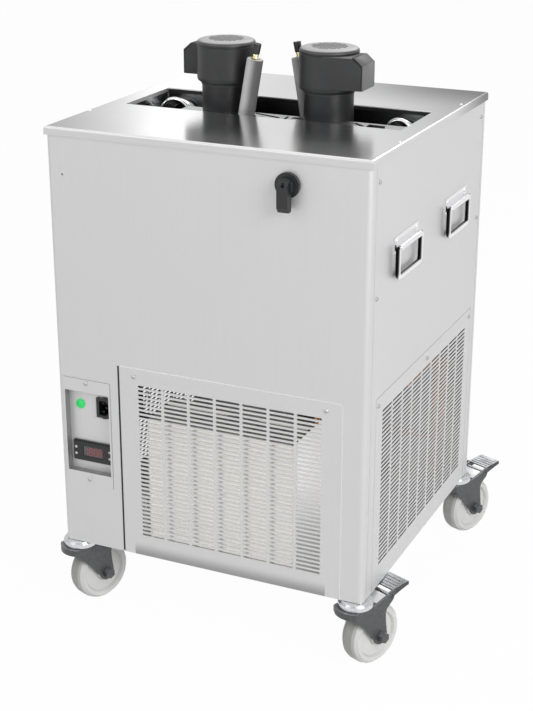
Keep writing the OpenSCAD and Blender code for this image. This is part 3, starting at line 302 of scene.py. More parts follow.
def plastic(name, colour, clean, worn, tone,
            fineness=900.0, depth=0.5, bump=0.1, size=18.0, facing=None, glow=0.0):
    material, tree, shader = startMaterial(name)
    shade = mould(tree, shader, tone, fineness, depth, bump)
    if facing:
        shade = product(tree, shade, useGroup(tree, facingShade, **facing)["Tone"])
    paint(tree, shader, colour, shade, wear(tree, clean, worn, size), glow)
    return material


# How fast the grain changes along X, Y and Z
upright, everyWay, coarse = (900, 900, 5), (300, 300, 300), (200, 200, 200)
sheetColour, weldedColour, paleWarmColour = (0.66, 0.66, 0.66), (0.5, 0.505, 0.51), (0.9, 0.89, 0.86)

cabinetSteel = steel("cabinetSteel", sheetColour, metallic=0.55, clean=0.42, worn=0.5,
                     stretch=upright, depth=0.3, tone=0.03, size=3.0)
# Painted shade in the recess of the control window: faces turned right or up drop to 0.42 of their tone
windowSteel = steel("windowSteel", sheetColour, metallic=0.55, clean=0.42, worn=0.5,
                    stretch=upright, depth=0.3, tone=0.03, size=3.0,
                    facing={"Light": (-0.7, -0.1, -0.7), "Dark": 0.42, "From": -0.6, "Full": -0.1})
bridgeSteel = steel("bridgeSteel", weldedColour, metallic=1.0, clean=0.24, worn=0.34,
                    stretch=upright, depth=0.4, tone=0.06, size=7.0)
# The back wall of the tank lies in the shade of the pumps
tankSteel = steel("tankSteel", weldedColour, metallic=1.0, clean=0.24, worn=0.34,
                  stretch=upright, depth=0.4, tone=0.06, size=7.0, run=("Y", 0.03, 0.06, 1.0, 0.3))
chassisSteel = steel("chassisSteel", (0.7, 0.7, 0.71), metallic=0.6, clean=0.4, worn=0.5,
                     stretch=(6, 6, 900), depth=0.3, tone=0.06, size=5.0)
brightSteel = steel("brightSteel", (0.82, 0.82, 0.83), metallic=1.0, clean=0.12, worn=0.2,
                    stretch=everyWay, depth=0.3, tone=0.05, size=30.0)
# Painted dark reflections: faces of the bails turned to the front, the left and up go nearly black
bailSteel = steel("bailSteel", (0.9, 0.9, 0.91), metallic=1.0, clean=0.12, worn=0.2,
                  stretch=everyWay, depth=0.3, tone=0.05, size=30.0,
                  facing={"Light": (0.55, 0.66, -0.5), "Dark": 0.01, "From": -0.4, "Full": 0.35})
platedSteel = steel("platedSteel", (0.74, 0.75, 0.77), metallic=1.0, clean=0.2, worn=0.34,
                    stretch=everyWay, depth=0.5, tone=0.14, size=40.0, bump=0.12)
screwSteel = steel("screwSteel", (0.55, 0.55, 0.56), metallic=1.0, clean=0.3, worn=0.4,
                   stretch=everyWay, depth=0.5, tone=0.14, size=40.0, bump=0.12)
# Painted shade: only the pedals' upward faces keep their colour, the rest fall nearly to black
pedalSteel = steel("pedalSteel", (0.72, 0.73, 0.75), metallic=1.0, clean=0.24, worn=0.4,
                   stretch=coarse, depth=0.6, tone=0.2, size=60.0, bump=0.2,
                   facing={"Light": (0.0, 0.2, 0.98), "Dark": 0.03})
plateSteel = steel("plateSteel", (0.8, 0.8, 0.81), metallic=0.4, clean=0.3, worn=0.45,
                   stretch=coarse, depth=0.5, tone=0.1, size=60.0, bump=0.1)
# Painted highlight: the forks' upward faces are up to 3.4 times as light as the rest
forkSteel = steel("forkSteel", (0.08, 0.082, 0.084), metallic=0.6, clean=0.34, worn=0.5,
                  stretch=(240, 240, 240), depth=0.6, tone=0.3, size=45.0, bump=0.25,
                  facing={"Light": (0.0, 0.0, 1.0), "Dark": 1.0, "Lit": 3.4})
brassTube = steel("brassTube", (0.9, 0.79, 0.5), metallic=1.0, clean=0.2, worn=0.3,
                  stretch=coarse, depth=0.4, tone=0.1, size=60.0)
finAluminium = steel("finAluminium", (0.95, 0.94, 0.92), metallic=0.0, clean=0.5, worn=0.6,
                     stretch=(3, 300, 300), depth=0.3, tone=0.08, size=9.0)
# Sheet beside the condenser: it glows with painted light, and painted shade greys it towards the tray
sidePlateSteel = steel("sidePlateSteel", paleWarmColour, metallic=0.0, clean=0.5, worn=0.6,
                       stretch=upright, depth=0.3, tone=0.06, size=9.0,
                       run=("Z", 0.19, 0.31, 0.42, 1.0), glow=0.45)

shellPaint = plastic("shellPaint", (0.022, 0.022, 0.024), clean=0.3, worn=0.45, tone=0.25,
                     fineness=500.0, depth=0.6, bump=0.2)
jointAndShadeBlack = plastic("jointAndShadeBlack", (0.006, 0.006, 0.0065), clean=0.5, worn=0.6, tone=0.2)
gripPlastic = plastic("gripPlastic", (0.016, 0.0165, 0.018), clean=0.36, worn=0.48, tone=0.15,
                      fineness=1000.0, depth=0.4)
casePlastic = plastic("casePlastic", (0.013, 0.0135, 0.015), clean=0.34, worn=0.46, tone=0.12,
                      fineness=1500.0, depth=0.4)
buttonPlastic = plastic("buttonPlastic", (0.62, 0.62, 0.6), clean=0.4, worn=0.5, tone=0.08,
                        fineness=1500.0, depth=0.3)
tankFoam = plastic("tankFoam", (0.72, 0.66, 0.45), clean=0.8, worn=0.95, tone=0.2,
                   fineness=260.0, depth=1.0, bump=0.5)
# Painted shade on the wheels: faces turned away from (0.93, -0.37, 0), such as the tread, are darker
wheelNylon = plastic("wheelNylon", (0.7, 0.7, 0.69), clean=0.42, worn=0.6, tone=0.07,
                     fineness=300.0, bump=0.12,
                     facing={"Light": (0.93, -0.37, 0.0), "Dark": 0.52, "From": -0.2, "Full": 0.9})
lampLens = plastic("lampLens", (0.02, 0.62, 0.14), clean=0.12, worn=0.22, tone=0.25,
                   bump=0, size=60.0, glow=0.35)
displayGlass = plastic("displayGlass", (0.1, 0.094, 0.1), clean=0.14, worn=0.24, tone=0.2, bump=0, size=80.0)
digitLight = plastic("digitLight", (0.36, 0.07, 0.06), clean=0.5, worn=0.5, tone=0.3, bump=0, glow=0.2)


def makeTopSteel():
    # Polished on the flat and satin on the skirt; the flat is paler with painted sheen, and a painted dark reflection
    # darkens it towards the back right corner
    material, tree, shader = startMaterial("topSteel")
    sheen = useGroup(tree, paintedUpperSheen, Colour=(0.65, 0.65, 0.65, 1), Pale=(0.94, 0.94, 0.945, 1),
                     Lean=0.6, Flat=0.9)
    shade = brush(tree, shader, stretch=(5, 900, 900), depth=0.4, tone=0.04)
    corner = product(tree, fade(tree, "Y", 0.07, 0.27, 0.0, 1.0), fade(tree, "X", -0.12, 0.2, 0.0, 1.0))
    paintedCornerShade = product(tree, shade, level(tree, corner, 1.0, 0.3))
    polish = level(tree, sheen["Mask"], 0.45, wear(tree, clean=0.16, worn=0.21, size=4.0))
    paint(tree, shader, sheen["Colour"], paintedCornerShade, polish)
    setSockets(tree, shader, {"Metallic": level(tree, sheen["Mask"], 0.55, 1.0)})
    return material


def makeGrilleSteel():
    # Cabinet steel with painted shade round the folded lip under the front grille
    material, tree, shader = startMaterial("grilleSteel", 0.55)
    shade = brush(tree, shader, stretch=upright, depth=0.3, tone=0.03)
    inset = product(tree, fade(tree, "X", -0.131, -0.129, 0.0, 1.0), fade(tree, "X", 0.198, 0.2, 1.0, 0.0))
    lip = level(tree, inset, 1.0, fade(tree, "Z", 0.1225, 0.147, 0.5, 1.0))
    paint(tree, shader, sheetColour, product(tree, shade, lip), wear(tree, clean=0.42, worn=0.5, size=3.0))
    return material


def makeCondenserFins():
    # Pale fins that glow with painted light, with painted shade at the tray and the top, and darker painted shade
    # bands every 44.4 mm in step with the grille's slot columns
    slotShade = {"shift": 0.0798, "half": 0.0222, "edge": (0.0005, 0.0055), "tone": (0.62, 1.0)}
    material, tree, shader = startMaterial("condenserFins")
    shade = brush(tree, shader, stretch=(3, 300, 300), depth=0.3, tone=0.08)
    along = calculate(tree, "ADD", axisOf(tree, "X"), slotShade["shift"])
    swing = calculate(tree, "PINGPONG", along, slotShade["half"])
    ends = product(tree, fade(tree, "Z", 0.134, 0.145, 0.05, 1.0), fade(tree, "Z", 0.3492, 0.3512, 1.0, 0.07))
    shade = product(tree, shade, ramp(tree, swing, slotShade["edge"], slotShade["tone"]), ends)
    paint(tree, shader, paleWarmColour, shade, wear(tree, clean=0.5, worn=0.6, size=9.0), glow=0.2)
    return material


def makePipeCopper():
    # Bare copper on the right of the bay, black wrapping on the left
    material, tree, shader = startMaterial("pipeCopper")
    bare = fade(tree, "X", 0.0, 0.01, 0.0, 1.0)
    body = mixColours(tree, bare, (0.03, 0.03, 0.032), (0.72, 0.32, 0.12))
    shade = brush(tree, shader, stretch=(60, 60, 60), depth=0.4, tone=0.25)
    paint(tree, shader, body, shade, wear(tree, clean=0.22, worn=0.36, size=25.0))
    setSockets(tree, shader, {"Metallic": bare})
    return material


def makeSleeveFoam():
    # Grey foam with painted shade on the side away from the light, and its cut end painted paler as if lit from above
    material, tree, shader = startMaterial("sleeveFoam")
    sheen = useGroup(tree, paintedUpperSheen, Colour=(0.66, 0.66, 0.665, 1), Pale=(0.74, 0.74, 0.74, 1),
                     Lean=0.8, Flat=0.95)
    turned = useGroup(tree, facingShade, Light=(-0.93, -0.35, 0.0), Dark=0.16)
    tone = calculate(tree, "MAXIMUM", turned["Tone"], sheen["Mask"])
    shade = product(tree, mould(tree, shader, tone=0.14, fineness=420.0, depth=1.0, bump=0.4), tone)
    paint(tree, shader, sheen["Colour"], shade, wear(tree, clean=0.75, worn=0.9))
    return material


def makePumpPlastic():
    # Black plastic with a painted sheen on the flat and painted shade on the side away from the light
    material, tree, shader = startMaterial("pumpPlastic")
    sheen = useGroup(tree, paintedUpperSheen, Colour=(0.034, 0.0345, 0.036, 1), Pale=(0.34, 0.34, 0.34, 1),
                     Lean=0.8, Flat=0.985)
    turned = useGroup(tree, facingShade, Light=(-0.55, -0.83, 0.0), Dark=0.45)
    shade = product(tree, mould(tree, shader, tone=0.16), turned["Tone"])
    paint(tree, shader, sheen["Colour"], shade, wear(tree, clean=0.42, worn=0.52))
    setSockets(tree, shader, {"Specular IOR Level": 0.36})
    return material


def makeVentPlastic():
    # Painted sheen pales its upper faces; the hole walls keep the dark colour, and below 902.2 mm it is darker still
    material, tree, shader = startMaterial("ventPlastic")
    sheen = useGroup(tree, paintedUpperSheen, Colour=(0.055, 0.056, 0.058, 1), Pale=(0.62, 0.62, 0.62, 1),
                     Lean=0.6, Flat=0.995)
    face = useGroup(tree, heightBand, Low=0.9022, High=1.0)
    body = mixColours(tree, face["Mask"], (0.012, 0.012, 0.013), sheen["Colour"])
    paint(tree, shader, body, mould(tree, shader, tone=0.1, bump=0.1), wear(tree, clean=0.42, worn=0.52))
    return material


def makeHousingPlastic():
    # Black of the pumps, a shade deeper, and dull below the rim where it is splashed; painted shade on the side away
    # from the light
    material, tree, shader = startMaterial("housingPlastic")
    wet = useGroup(tree, heightBand, Low=0.0, High=0.799)["Mask"]
    body = mixColours(tree, wet, (0.018, 0.0185, 0.02), (0.03, 0.031, 0.032))
    turned = useGroup(tree, facingShade, Light=(-0.55, -0.83, 0.0), Dark=0.4, Lit=0.9)
    shade = product(tree, mould(tree, shader, tone=0.16), turned["Tone"])
    paint(tree, shader, body, shade, level(tree, wet, 0.44, 0.6))
    setSockets(tree, shader, {"Specular IOR Level": 0.34})
    return material


def makeLidPlastic():
    # Lid of the terminal box: its upright end is paler with a painted reflection, its slope stays dark
    material, tree, shader = startMaterial("lidPlastic")
    outward = calculate(tree, "ABSOLUTE", axisOf(tree, "X", "Normal"), 0)
    body = mixColours(tree, ramp(tree, outward, (0.75, 0.95)), (0.045, 0.0455, 0.047), (0.15, 0.15, 0.152))
    paint(tree, shader, body, mould(tree, shader, tone=0.12), wear(tree, clean=0.4, worn=0.5, size=30.0))
    return material


topSteel = makeTopSteel()
grilleSteel = makeGrilleSteel()
condenserFins = makeCondenserFins()
pipeCopper = makePipeCopper()
sleeveFoam = makeSleeveFoam()
pumpPlastic = makePumpPlastic()
ventPlastic = makeVentPlastic()
housingPlastic = makeHousingPlastic()
lidPlastic = makeLidPlastic()
print("finishes made")


def fourOf(name):
    return [f"{name}_{k}" for k in range(1, 5)]


finishOf = {
    cabinetSteel: ["front_panel", "right_panel", "left_panel", "back_panel", "right_grille", "left_grille"],
    windowSteel: ["control_cover", "control_box"],
    topSteel: ["top_frame"],
    grilleSteel: ["front_grille"],
    tankSteel: ["tank"],
    bridgeSteel: ["pump_bridge"],
    chassisSteel: ["chassis"],
    screwSteel: ["panel_screws"],
    brightSteel: ["evaporator_coil", "pump_rotor_left", "pump_rotor_right", "handle_plates"],
    bailSteel: fourOf("handle_bail"),
    platedSteel: ["castor_races"],
    pedalSteel: fourOf("castor_pedal"),
    forkSteel: fourOf("castor_fork"),
    wheelNylon: fourOf("castor_wheel"),
    pipeCopper: ["refrigerant_pipes"],
    brassTube: ["line_fittings"],
    condenserFins: ["condenser"],
    finAluminium: ["fan_shroud", "fan_blades"],
    shellPaint: ["compressor", "fan_motor"],
    housingPlastic: ["pump_housing_left", "pump_housing_right"],
    pumpPlastic: ["motor_cover_left", "motor_cover_right"],
    ventPlastic: ["vent_caps"],
    gripPlastic: ["lever", "lever_base", "line_caps"],
    casePlastic: ["controller_case", "power_inlet"],
    buttonPlastic: fourOf("controller_button"),
    sleeveFoam: ["line_sleeves"],
    tankFoam: ["insulation"],
    lampLens: ["pilot_lamp"],
    displayGlass: ["display_window"],
}
for finish, names in finishOf.items():
    for name in names:
        if not nodes[name].material_slots:
            nodes[name].data.materials.append(finish)
        for slot in nodes[name].material_slots:
            slot.material = finish
print("finishes on the cabinet's own parts")


def at(x, y, z):
    # Shift to a place in millimetres
    return Matrix.Translation(Vector((x, y, z)) * mm)


def turnedBy(degrees, axis):
    return Matrix.Rotation(math.radians(degrees), 4, axis)


def newVerts(bm, old):
    return [v for v in bm.verts if v not in old]


def edgesOf(verts):
    return list({e for v in verts for e in v.link_edges})


def roundEdges(bm, edges, width, steps=2):
    made = bmesh.ops.bevel(bm, geom=edges, offset=width * mm, affect="EDGES", segments=steps,
                           profile=0.5, material=-1)
    return made["verts"]


def toObject(bm, name):
    bmesh.ops.remove_doubles(bm, verts=bm.verts, dist=weldDistance)
    bmesh.ops.recalc_face_normals(bm, faces=bm.faces)
    mesh = bpy.data.meshes.new(name)
    bm.to_mesh(mesh)
    bm.free()
    solid = bpy.data.objects.new(name, mesh)
    scene.collection.objects.link(solid)
    return solid


def finishPiece(bm, name, material, body, stands=()):
    piece = toObject(bm, name)
    piece.data.materials.append(material)
    piece.data.shade_smooth()
    piece.data.set_sharp_from_angle(angle=sharpAngle)
    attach(piece, body)
    if stands:
        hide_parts(*stands)


def addTurned(bm, profile, matrix, segments=64):
    # Turned shape from radius and height pairs in millimetres
    old = set(bm.verts)
    rail = [bm.verts.new((r * mm, 0, z * mm)) for r, z in profile]
    edges = [bm.edges.new(pair) for pair in zip(rail, rail[1:])]
    bmesh.ops.spin(bm, geom=rail + edges, cent=(0, 0, 0), axis=(0, 0, 1), angle=math.tau, steps=segments,
                   use_merge=True)
    bmesh.ops.remove_doubles(bm, verts=newVerts(bm, old), dist=weldDistance)
    bmesh.ops.transform(bm, matrix=matrix, verts=newVerts(bm, old))


def drum(radius, low, high):
    # Profile of a plain round bar
    return [(0, low), (radius, low), (radius, high), (0, high)]


def addPrism(bm, outline, low, high, matrix, cut=None, bevel=0.0, bevelFrom=-1000):
    # Plan outline raised between two heights; cut is a point and a direction that is sliced off,
    # and edges are rounded only where they reach beyond bevelFrom along X
    old = set(bm.verts)
    foot = bm.faces.new([bm.verts.new((x * mm, y * mm, low * mm)) for x, y in outline])
    raised = bmesh.ops.extrude_face_region(bm, geom=[foot], use_keep_orig=True)["geom"]
    upper = [part for part in raised if isinstance(part, bmesh.types.BMVert)]
    bmesh.ops.translate(bm, vec=(0, 0, (high - low) * mm), verts=upper)
    if cut:
        made = newVerts(bm, old)
        whole = made + edgesOf(made) + list({f for v in made for f in v.link_faces})
        sliced = bmesh.ops.bisect_plane(bm, geom=whole, plane_co=Vector(cut[0]) * mm, plane_no=cut[1],
                                        clear_outer=True)
        rimEdges = [part for part in sliced["geom_cut"] if isinstance(part, bmesh.types.BMEdge)]
        bmesh.ops.edgeloop_fill(bm, edges=rimEdges)
    if bevel:
        edges = edgesOf(newVerts(bm, old))
        roundEdges(bm, [e for e in edges if max(v.co.x for v in e.verts) > bevelFrom * mm], bevel)
    bmesh.ops.transform(bm, matrix=matrix, verts=newVerts(bm, old))


def addDome(bm, place, outward, radius, rise):
    # Low domed head on a face whose outward direction is given
    turn = Vector(outward).to_track_quat("Z", "Y").to_matrix().to_4x4()
    made = bmesh.ops.create_uvsphere(bm, u_segments=20, v_segments=12, radius=radius * mm)["verts"]
    bmesh.ops.scale(bm, vec=(1, 1, rise / radius), verts=made)
    lower = [v for v in made if v.co.z < -weldDistance]
    bmesh.ops.delete(bm, geom=lower, context="VERTS")
    bmesh.ops.transform(bm, matrix=at(*place) @ turn, verts=[v for v in made if v.is_valid])


def addBlock(bm, size, matrix, bevel=0.0, steps=2):
    made = bmesh.ops.create_cube(bm, size=1)["verts"]
    bmesh.ops.scale(bm, vec=Vector(size) * mm, verts=made)
    if bevel:
        made = roundEdges(bm, edgesOf(made), bevel, steps)
    bmesh.ops.transform(bm, matrix=matrix, verts=made)


def addRod(bm, radius, length, matrix, segments):
    bmesh.ops.create_cone(bm, cap_ends=True, segments=segments, radius1=radius * mm, radius2=radius * mm,
                          depth=length * mm, matrix=matrix)


def cutOut(solid, cutters):
    # First shape minus the second, as a new bmesh
    blank, cutter = toObject(solid, "blank"), toObject(cutters, "cutter")
    cut = blank.modifiers.new("cut", "BOOLEAN")
    cut.operation = "DIFFERENCE"
    cut.solver = "EXACT"
    cut.object = cutter
    bpy.context.view_layer.update()
    shaped = blank.evaluated_get(bpy.context.evaluated_depsgraph_get())
    result = bmesh.new()
    result.from_mesh(bpy.data.meshes.new_from_object(shaped))
    for part in (blank, cutter):
        bpy.data.objects.remove(part)
    return result


topRivet = {"places": [(-256, -137), (253.8, -139.8), (252, 146)], "top": 806, "radius": 2.4, "rise": 1.2}
bm = bmesh.new()
for x, y in topRivet["places"]:
    addDome(bm, (x, y, topRivet["top"]), (0, 0, 1), topRivet["radius"], topRivet["rise"])
finishPiece(bm, "topRivets", brightSteel, "body")

handleRivet = {"face": 262, "middle": -4, "pitch": 230, "plate": 102, "inset": 9, "z": 667,
               "radius": 3.4, "rise": 1.6}
bm = bmesh.new()
fromHandle = handleRivet["plate"] / 2 - handleRivet["inset"]
for side in (-1, 1):
    for along in (-1, 1):
        for end in (-1, 1):
            y = handleRivet["middle"] + along * handleRivet["pitch"] / 2 + end * fromHandle
            spot = (side * handleRivet["face"], y, handleRivet["z"])
            addDome(bm, spot, (side, 0, 0), handleRivet["radius"], handleRivet["rise"])
finishPiece(bm, "handleRivets", brightSteel, "body")

# Seven-segment digits of the display, drawn as slim bars
windowLow, windowHigh = (Vector(corner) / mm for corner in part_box("display_window"))
display = {"x": (windowLow.x + windowHigh.x) / 2, "z": (windowLow.z + windowHigh.z) / 2,
           "face": windowLow.y - 0.06, "digitW": 5.6, "digitH": 12, "step": 8.6, "bar": 1.3,
           "thick": 0.12, "endGap": 1.6, "sideGap": 1.4}
levelBar = (display["digitW"] - display["endGap"], display["thick"], display["bar"])
uprightBar = (display["bar"], display["thick"], display["digitH"] / 2 - display["sideGap"])
segments = {"a": (0, 1, levelBar), "b": (1, 0.5, uprightBar), "c": (1, -0.5, uprightBar),
            "d": (0, -1, levelBar), "e": (-1, -0.5, uprightBar), "f": (-1, 0.5, uprightBar),
            "g": (0, 0, levelBar)}
shown = ["bc", "abcdefg", "abcdefg", "abcdefg"]
bm = bmesh.new()
for place, lit in enumerate(shown):
    for name in lit:
        sx, sz, size = segments[name]
        x = display["x"] + (place - 1.5) * display["step"] + sx * display["digitW"] / 2
        z = display["z"] + sz * display["digitH"] / 2
        addBlock(bm, size, at(x, display["face"], z), bevel=0.05, steps=1)
finishPiece(bm, "displayDigits", digitLight, "body")

# Pumps: drum with a box that runs off it at a tangent, dark joint, lid and vented cap
pump = {"x": 87, "drum": 46.3, "seam": 838, "top": 899, "boxLow": 850.5, "reach": 66.6,
        "front": -38.4, "rear": 13, "tangent": (5.6, -45.95), "chamfer": 14, "fall": 12,
        "overCut": 1.2, "joint": 0.9, "lid": 2.3}
toPump = {"left": at(-pump["x"], 0, 0) @ turnedBy(180, "Z"), "right": at(pump["x"], 0, 0) @ turnedBy(0, "Z")}
seam, top, reach, fall = pump["seam"], pump["top"], pump["reach"], pump["fall"]
drumProfile = [(0, seam), (39.3, seam), (39.6, seam + 0.4), (39.6, seam + 2.4), (40.4, seam + 3.2),
               (44.9, seam + 6.8), (45.9, seam + 8.6), (46.1, seam + 10), (45.6, seam + 10.4),
               (45.6, seam + 10.9), (pump["drum"], seam + 11.4), (pump["drum"], top - 1), (pump["drum"] - 1, top), (0, top)]
lidCut = ((reach, 0, top - fall - pump["overCut"]), (fall, 0, pump["chamfer"]))
boxPlan = [(pump["tangent"][0], pump["rear"]), pump["tangent"], (reach, pump["front"]), (reach, pump["rear"])]
for side in sides:
    bm = bmesh.new()
    addTurned(bm, drumProfile, toPump[side], 128)
    addPrism(bm, boxPlan, pump["boxLow"], top, toPump[side], lidCut, bevel=0.7, bevelFrom=20)
    finishPiece(bm, f"motorCover_{side}", pumpPlastic, "body", [f"motor_cover_{side}"])

# How far the sloped end leans out and up, and how the corner below it follows
lidSlope = {"out": 0.651, "up": 0.759, "mitre": 0.46, "over": 0.2, "under": 0.1}


def lidBand(inner, outer):
    # Side outline of a layer that follows the sloped and the upright end of the box
    def row(d):
        slope = reach + (d - lidSlope["up"] * (fall + lidSlope["over"])) / lidSlope["out"]
        return [(slope, top + lidSlope["over"]), (reach + d, top - fall + lidSlope["mitre"] * d),
                (reach + d, pump["boxLow"] + lidSlope["under"])]
    return row(inner) + row(outer)[::-1]


for name, inset, inner, outer, material in (("lidJoints", 1.1, -1.6, pump["joint"], jointAndShadeBlack),
                                             ("terminalLids", 0.1, pump["joint"], pump["lid"], lidPlastic)):
    bm = bmesh.new()
    for side in sides:
        lying = toPump[side] @ turnedBy(90, "X")
        addPrism(bm, lidBand(inner, outer), inset - pump["rear"], -pump["front"] - inset, lying, bevel=0.3)
    finishPiece(bm, name, material, "body")

cap = {"pitch": 5.2, "rows": 5, "hole": 2.15, "field": 27.4, "floor": 903, "drill": 10}
capProfile = [(0, 898.8), (45, 898.8), (45, 899.9), (45.9, 900.1), (46.2, 901), (46, 902.8), (45.1, 904.8),
              (43.4, 906.3), (40.6, 907.3), (36, 907.9), (25, 908.2), (0, 908.4)]
rows = range(-cap["rows"], cap["rows"] + 1)
for side in sides:
    bm, drills = bmesh.new(), bmesh.new()
    addTurned(bm, capProfile, toPump[side], 96)
    for i in rows:
        for j in rows:
            if math.hypot(i, j) * cap["pitch"] < cap["field"]:
                spot = at(i * cap["pitch"], j * cap["pitch"], cap["floor"] + cap["drill"] / 2)
                addRod(drills, cap["hole"], cap["drill"], toPump[side] @ spot, segments=10)
    finishPiece(cutOut(bm, drills), f"ventCap_{side}", ventPlastic, "body", ["vent_caps"])

# Lower housings with their pump heads in the tank
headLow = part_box("pump_housing_right")[0][2] / mm
housing = {"radius": 38.5, "top": 838.4, "low": 770, "column": 19, "head": 33, "headH": 40,
           "outlet": (-4, 42), "outletR": 11, "outletLow": 10, "outletH": 36,
           "web": 7, "webFrom": 20, "webZ": (12, 32)}
neck, wide, head = headLow + housing["headH"], housing["radius"], housing["head"]
housingProfile = [(0, headLow), (head - 1.5, headLow), (head, headLow + 1.5), (head, neck - 3),
                  (head - 3, neck), (housing["column"], neck), (housing["column"], housing["low"]),
                  (wide - 2, housing["low"]), (wide, housing["low"] + 2), (wide, housing["top"]), (0, housing["top"])]
x, y = housing["outlet"]
web = [(x - housing["web"], housing["webFrom"]), (x + housing["web"], housing["webFrom"]),
       (x + housing["web"], y), (x - housing["web"], y)]
outletBar = drum(housing["outletR"], headLow + housing["outletLow"], headLow + housing["outletH"])
webLow, webHigh = (headLow + z for z in housing["webZ"])
for side in sides:
    bm = bmesh.new()
    addTurned(bm, housingProfile, toPump[side], 96)
    addTurned(bm, outletBar, toPump[side] @ at(x, y, 0), 32)
    addPrism(bm, web, webLow, webHigh, toPump[side], bevel=1)
    finishPiece(bm, f"pumpHousing_{side}", housingPlastic, "body", [f"pump_housing_{side}"])

# Bridge between the tank walls with its notches and slits
bridge = {"x": (-149.5, 229.5), "y": (-70.5, -12), "top": 798.5, "sheet": 1.5, "lip": 10, "lipTop": 1.6,
          "clear": 0.3, "notch": (-34, -42), "notchR": 15.6,
          "slits": [[(-31, -13), (18, -29), (19, -37), (-28, -21)],
                    [(-18, -40), (-4, -38), (-4, -35), (-18, -37)],
                    [(27, -37), (25.5, -18), (30, -19), (32, -38)],
                    [(36, -30), (38, -18), (54, -24), (55, -31)],
                    [(134, -21), (138, -16), (160, -33), (155, -38)],
                    [(163, -40), (161, -19), (188, -21), (194, -42)]]}
bm, cutters = bmesh.new(), bmesh.new()
(x0, x1), (y0, y1) = bridge["x"], bridge["y"]
still = Matrix.Identity(4)
addPrism(bm, [(x0, y0), (x1, y0), (x1, y1), (x0, y1)], bridge["top"] - bridge["sheet"], bridge["top"], still)
for outline in bridge["slits"]:
    addPrism(cutters, outline, bridge["top"] - 8, bridge["top"] + 8, still)
cutLow, cutHigh = bridge["top"] - 12, bridge["top"] + 12
for side in sides:
    addTurned(cutters, drum(wide + bridge["clear"], cutLow, cutHigh), toPump[side], 64)
addTurned(cutters, drum(bridge["notchR"], cutLow, cutHigh), at(*bridge["notch"], 0), 48)
bm = cutOut(bm, cutters)
lip = [(x0, y1 - bridge["sheet"]), (x1, y1 - bridge["sheet"]), (x1, y1), (x0, y1)]
addPrism(bm, lip, bridge["top"] - bridge["lip"], bridge["top"] - bridge["lipTop"], still)
finishPiece(bm, "pumpBridge", bridgeSteel, "body", ["pump_bridge"])

# Insulated lines with a brass end and a black plug, leaning towards each other
line = {"x": -55, "y": 42, "base": 806, "lean": -10, "foam": 12.7, "bore": 6.2, "low": -150, "brassLow": -140,
        "left": 82.6, "right": 75}
foam, bore, low, brassLow = line["foam"], line["bore"], line["low"], line["brassLow"]
foamBits, brassBits, plugBits = bmesh.new(), bmesh.new(), bmesh.new()
for side in sides:
    end = line[side]
    place = toPump[side] @ at(line["x"], line["y"], line["base"]) @ turnedBy(line["lean"], "Y")
    addTurned(foamBits, [(bore, low), (foam, low), (foam, end - 0.8), (foam - 0.8, end), (bore + 0.5, end),
                         (bore, end - 0.5), (bore, low)], place, 48)
    addTurned(brassBits, [(0, brassLow), (6, brassLow), (6, end - 2), (4.6, end - 1), (4.6, end + 2.6),
                          (3.9, end + 3.1), (3.9, end + 3.9), (4.6, end + 4.4), (4.6, end + 7.4),
                          (4.2, end + 8), (0, end + 8)], place, 32)
    addTurned(plugBits, [(0, end + 8), (5.2, end + 8), (5.5, end + 8.5), (6.2, end + 23.4), (5.7, end + 24),
                         (0, end + 24)], place, 32)
finishPiece(foamBits, "lineSleeves", sleeveFoam, "body", ["line_sleeves"])
finishPiece(brassBits, "lineFittings", brassTube, "body", ["line_fittings"])
finishPiece(plugBits, "linePlugs", gripPlastic, "body", ["line_caps"])
print("pump heads and lines made")

# Plate on the neck of each castor fork, under the pedal
castor = {"place": 243, "turn": -22, "start": (24.4, 109.3), "end": (46.8, 114.8), "width": 40, "thick": 1.2,
          "lift": 0.9, "bevel": 0.4}
run = Vector(castor["end"]) - Vector(castor["start"])
middle = (Vector(castor["end"]) + Vector(castor["start"])) / 2
tilt = Matrix.Rotation(math.atan2(run.y, run.x), 4, "X")
for k, (sx, sy) in enumerate([(-1, -1), (1, -1), (-1, 1), (1, 1)], 1):
    toCastor = at(sx * castor["place"], sy * castor["place"], 0) @ turnedBy(castor["turn"], "Z")
    bm = bmesh.new()
    size = (castor["width"], run.length, castor["thick"])
    addBlock(bm, size, toCastor @ at(0, middle.x, middle.y + castor["lift"]) @ tilt, castor["bevel"])
    finishPiece(bm, f"brakeBracket{k}", plateSteel, f"castor_{k}")

# Polished edge along the back of the opening, and under it a black strip that paints shade on the lip
edge = {"y": 70.2, "half": 229, "z": 805.9, "radius": 1.2}
bm = bmesh.new()
addRod(bm, edge["radius"], 2 * edge["half"], at(0, edge["y"], edge["z"]) @ turnedBy(90, "Y"), segments=16)
finishPiece(bm, "openingEdge", plateSteel, "body")

lipShade = {"y": 69.6, "z": 802.2, "thick": 0.6, "tall": 5}
bm = bmesh.new()
addBlock(bm, (2 * edge["half"], lipShade["thick"], lipShade["tall"]), at(0, lipShade["y"], lipShade["z"]))
finishPiece(bm, "openingShadeStrip", jointAndShadeBlack, "body")

# Joint at the left of the front grille, and bright strips over it and at its right for its bent edges, brighter than
# the sheet as a painted highlight
grilleLow, grilleHigh = (Vector(corner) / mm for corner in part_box("front_grille"))
grilleMid, grilleSize = (grilleLow + grilleHigh) / 2, grilleHigh - grilleLow
joint = {"wide": 3, "deep": 0.8, "y": -259.8, "shorter": 1.5, "lift": 1}
bm = bmesh.new()
size = (joint["wide"], joint["deep"], grilleSize.z - joint["shorter"])
addBlock(bm, size, at(grilleLow.x - joint["wide"] / 2, joint["y"], grilleMid.z + joint["lift"]))
finishPiece(bm, "grilleJoint", jointAndShadeBlack, "body")

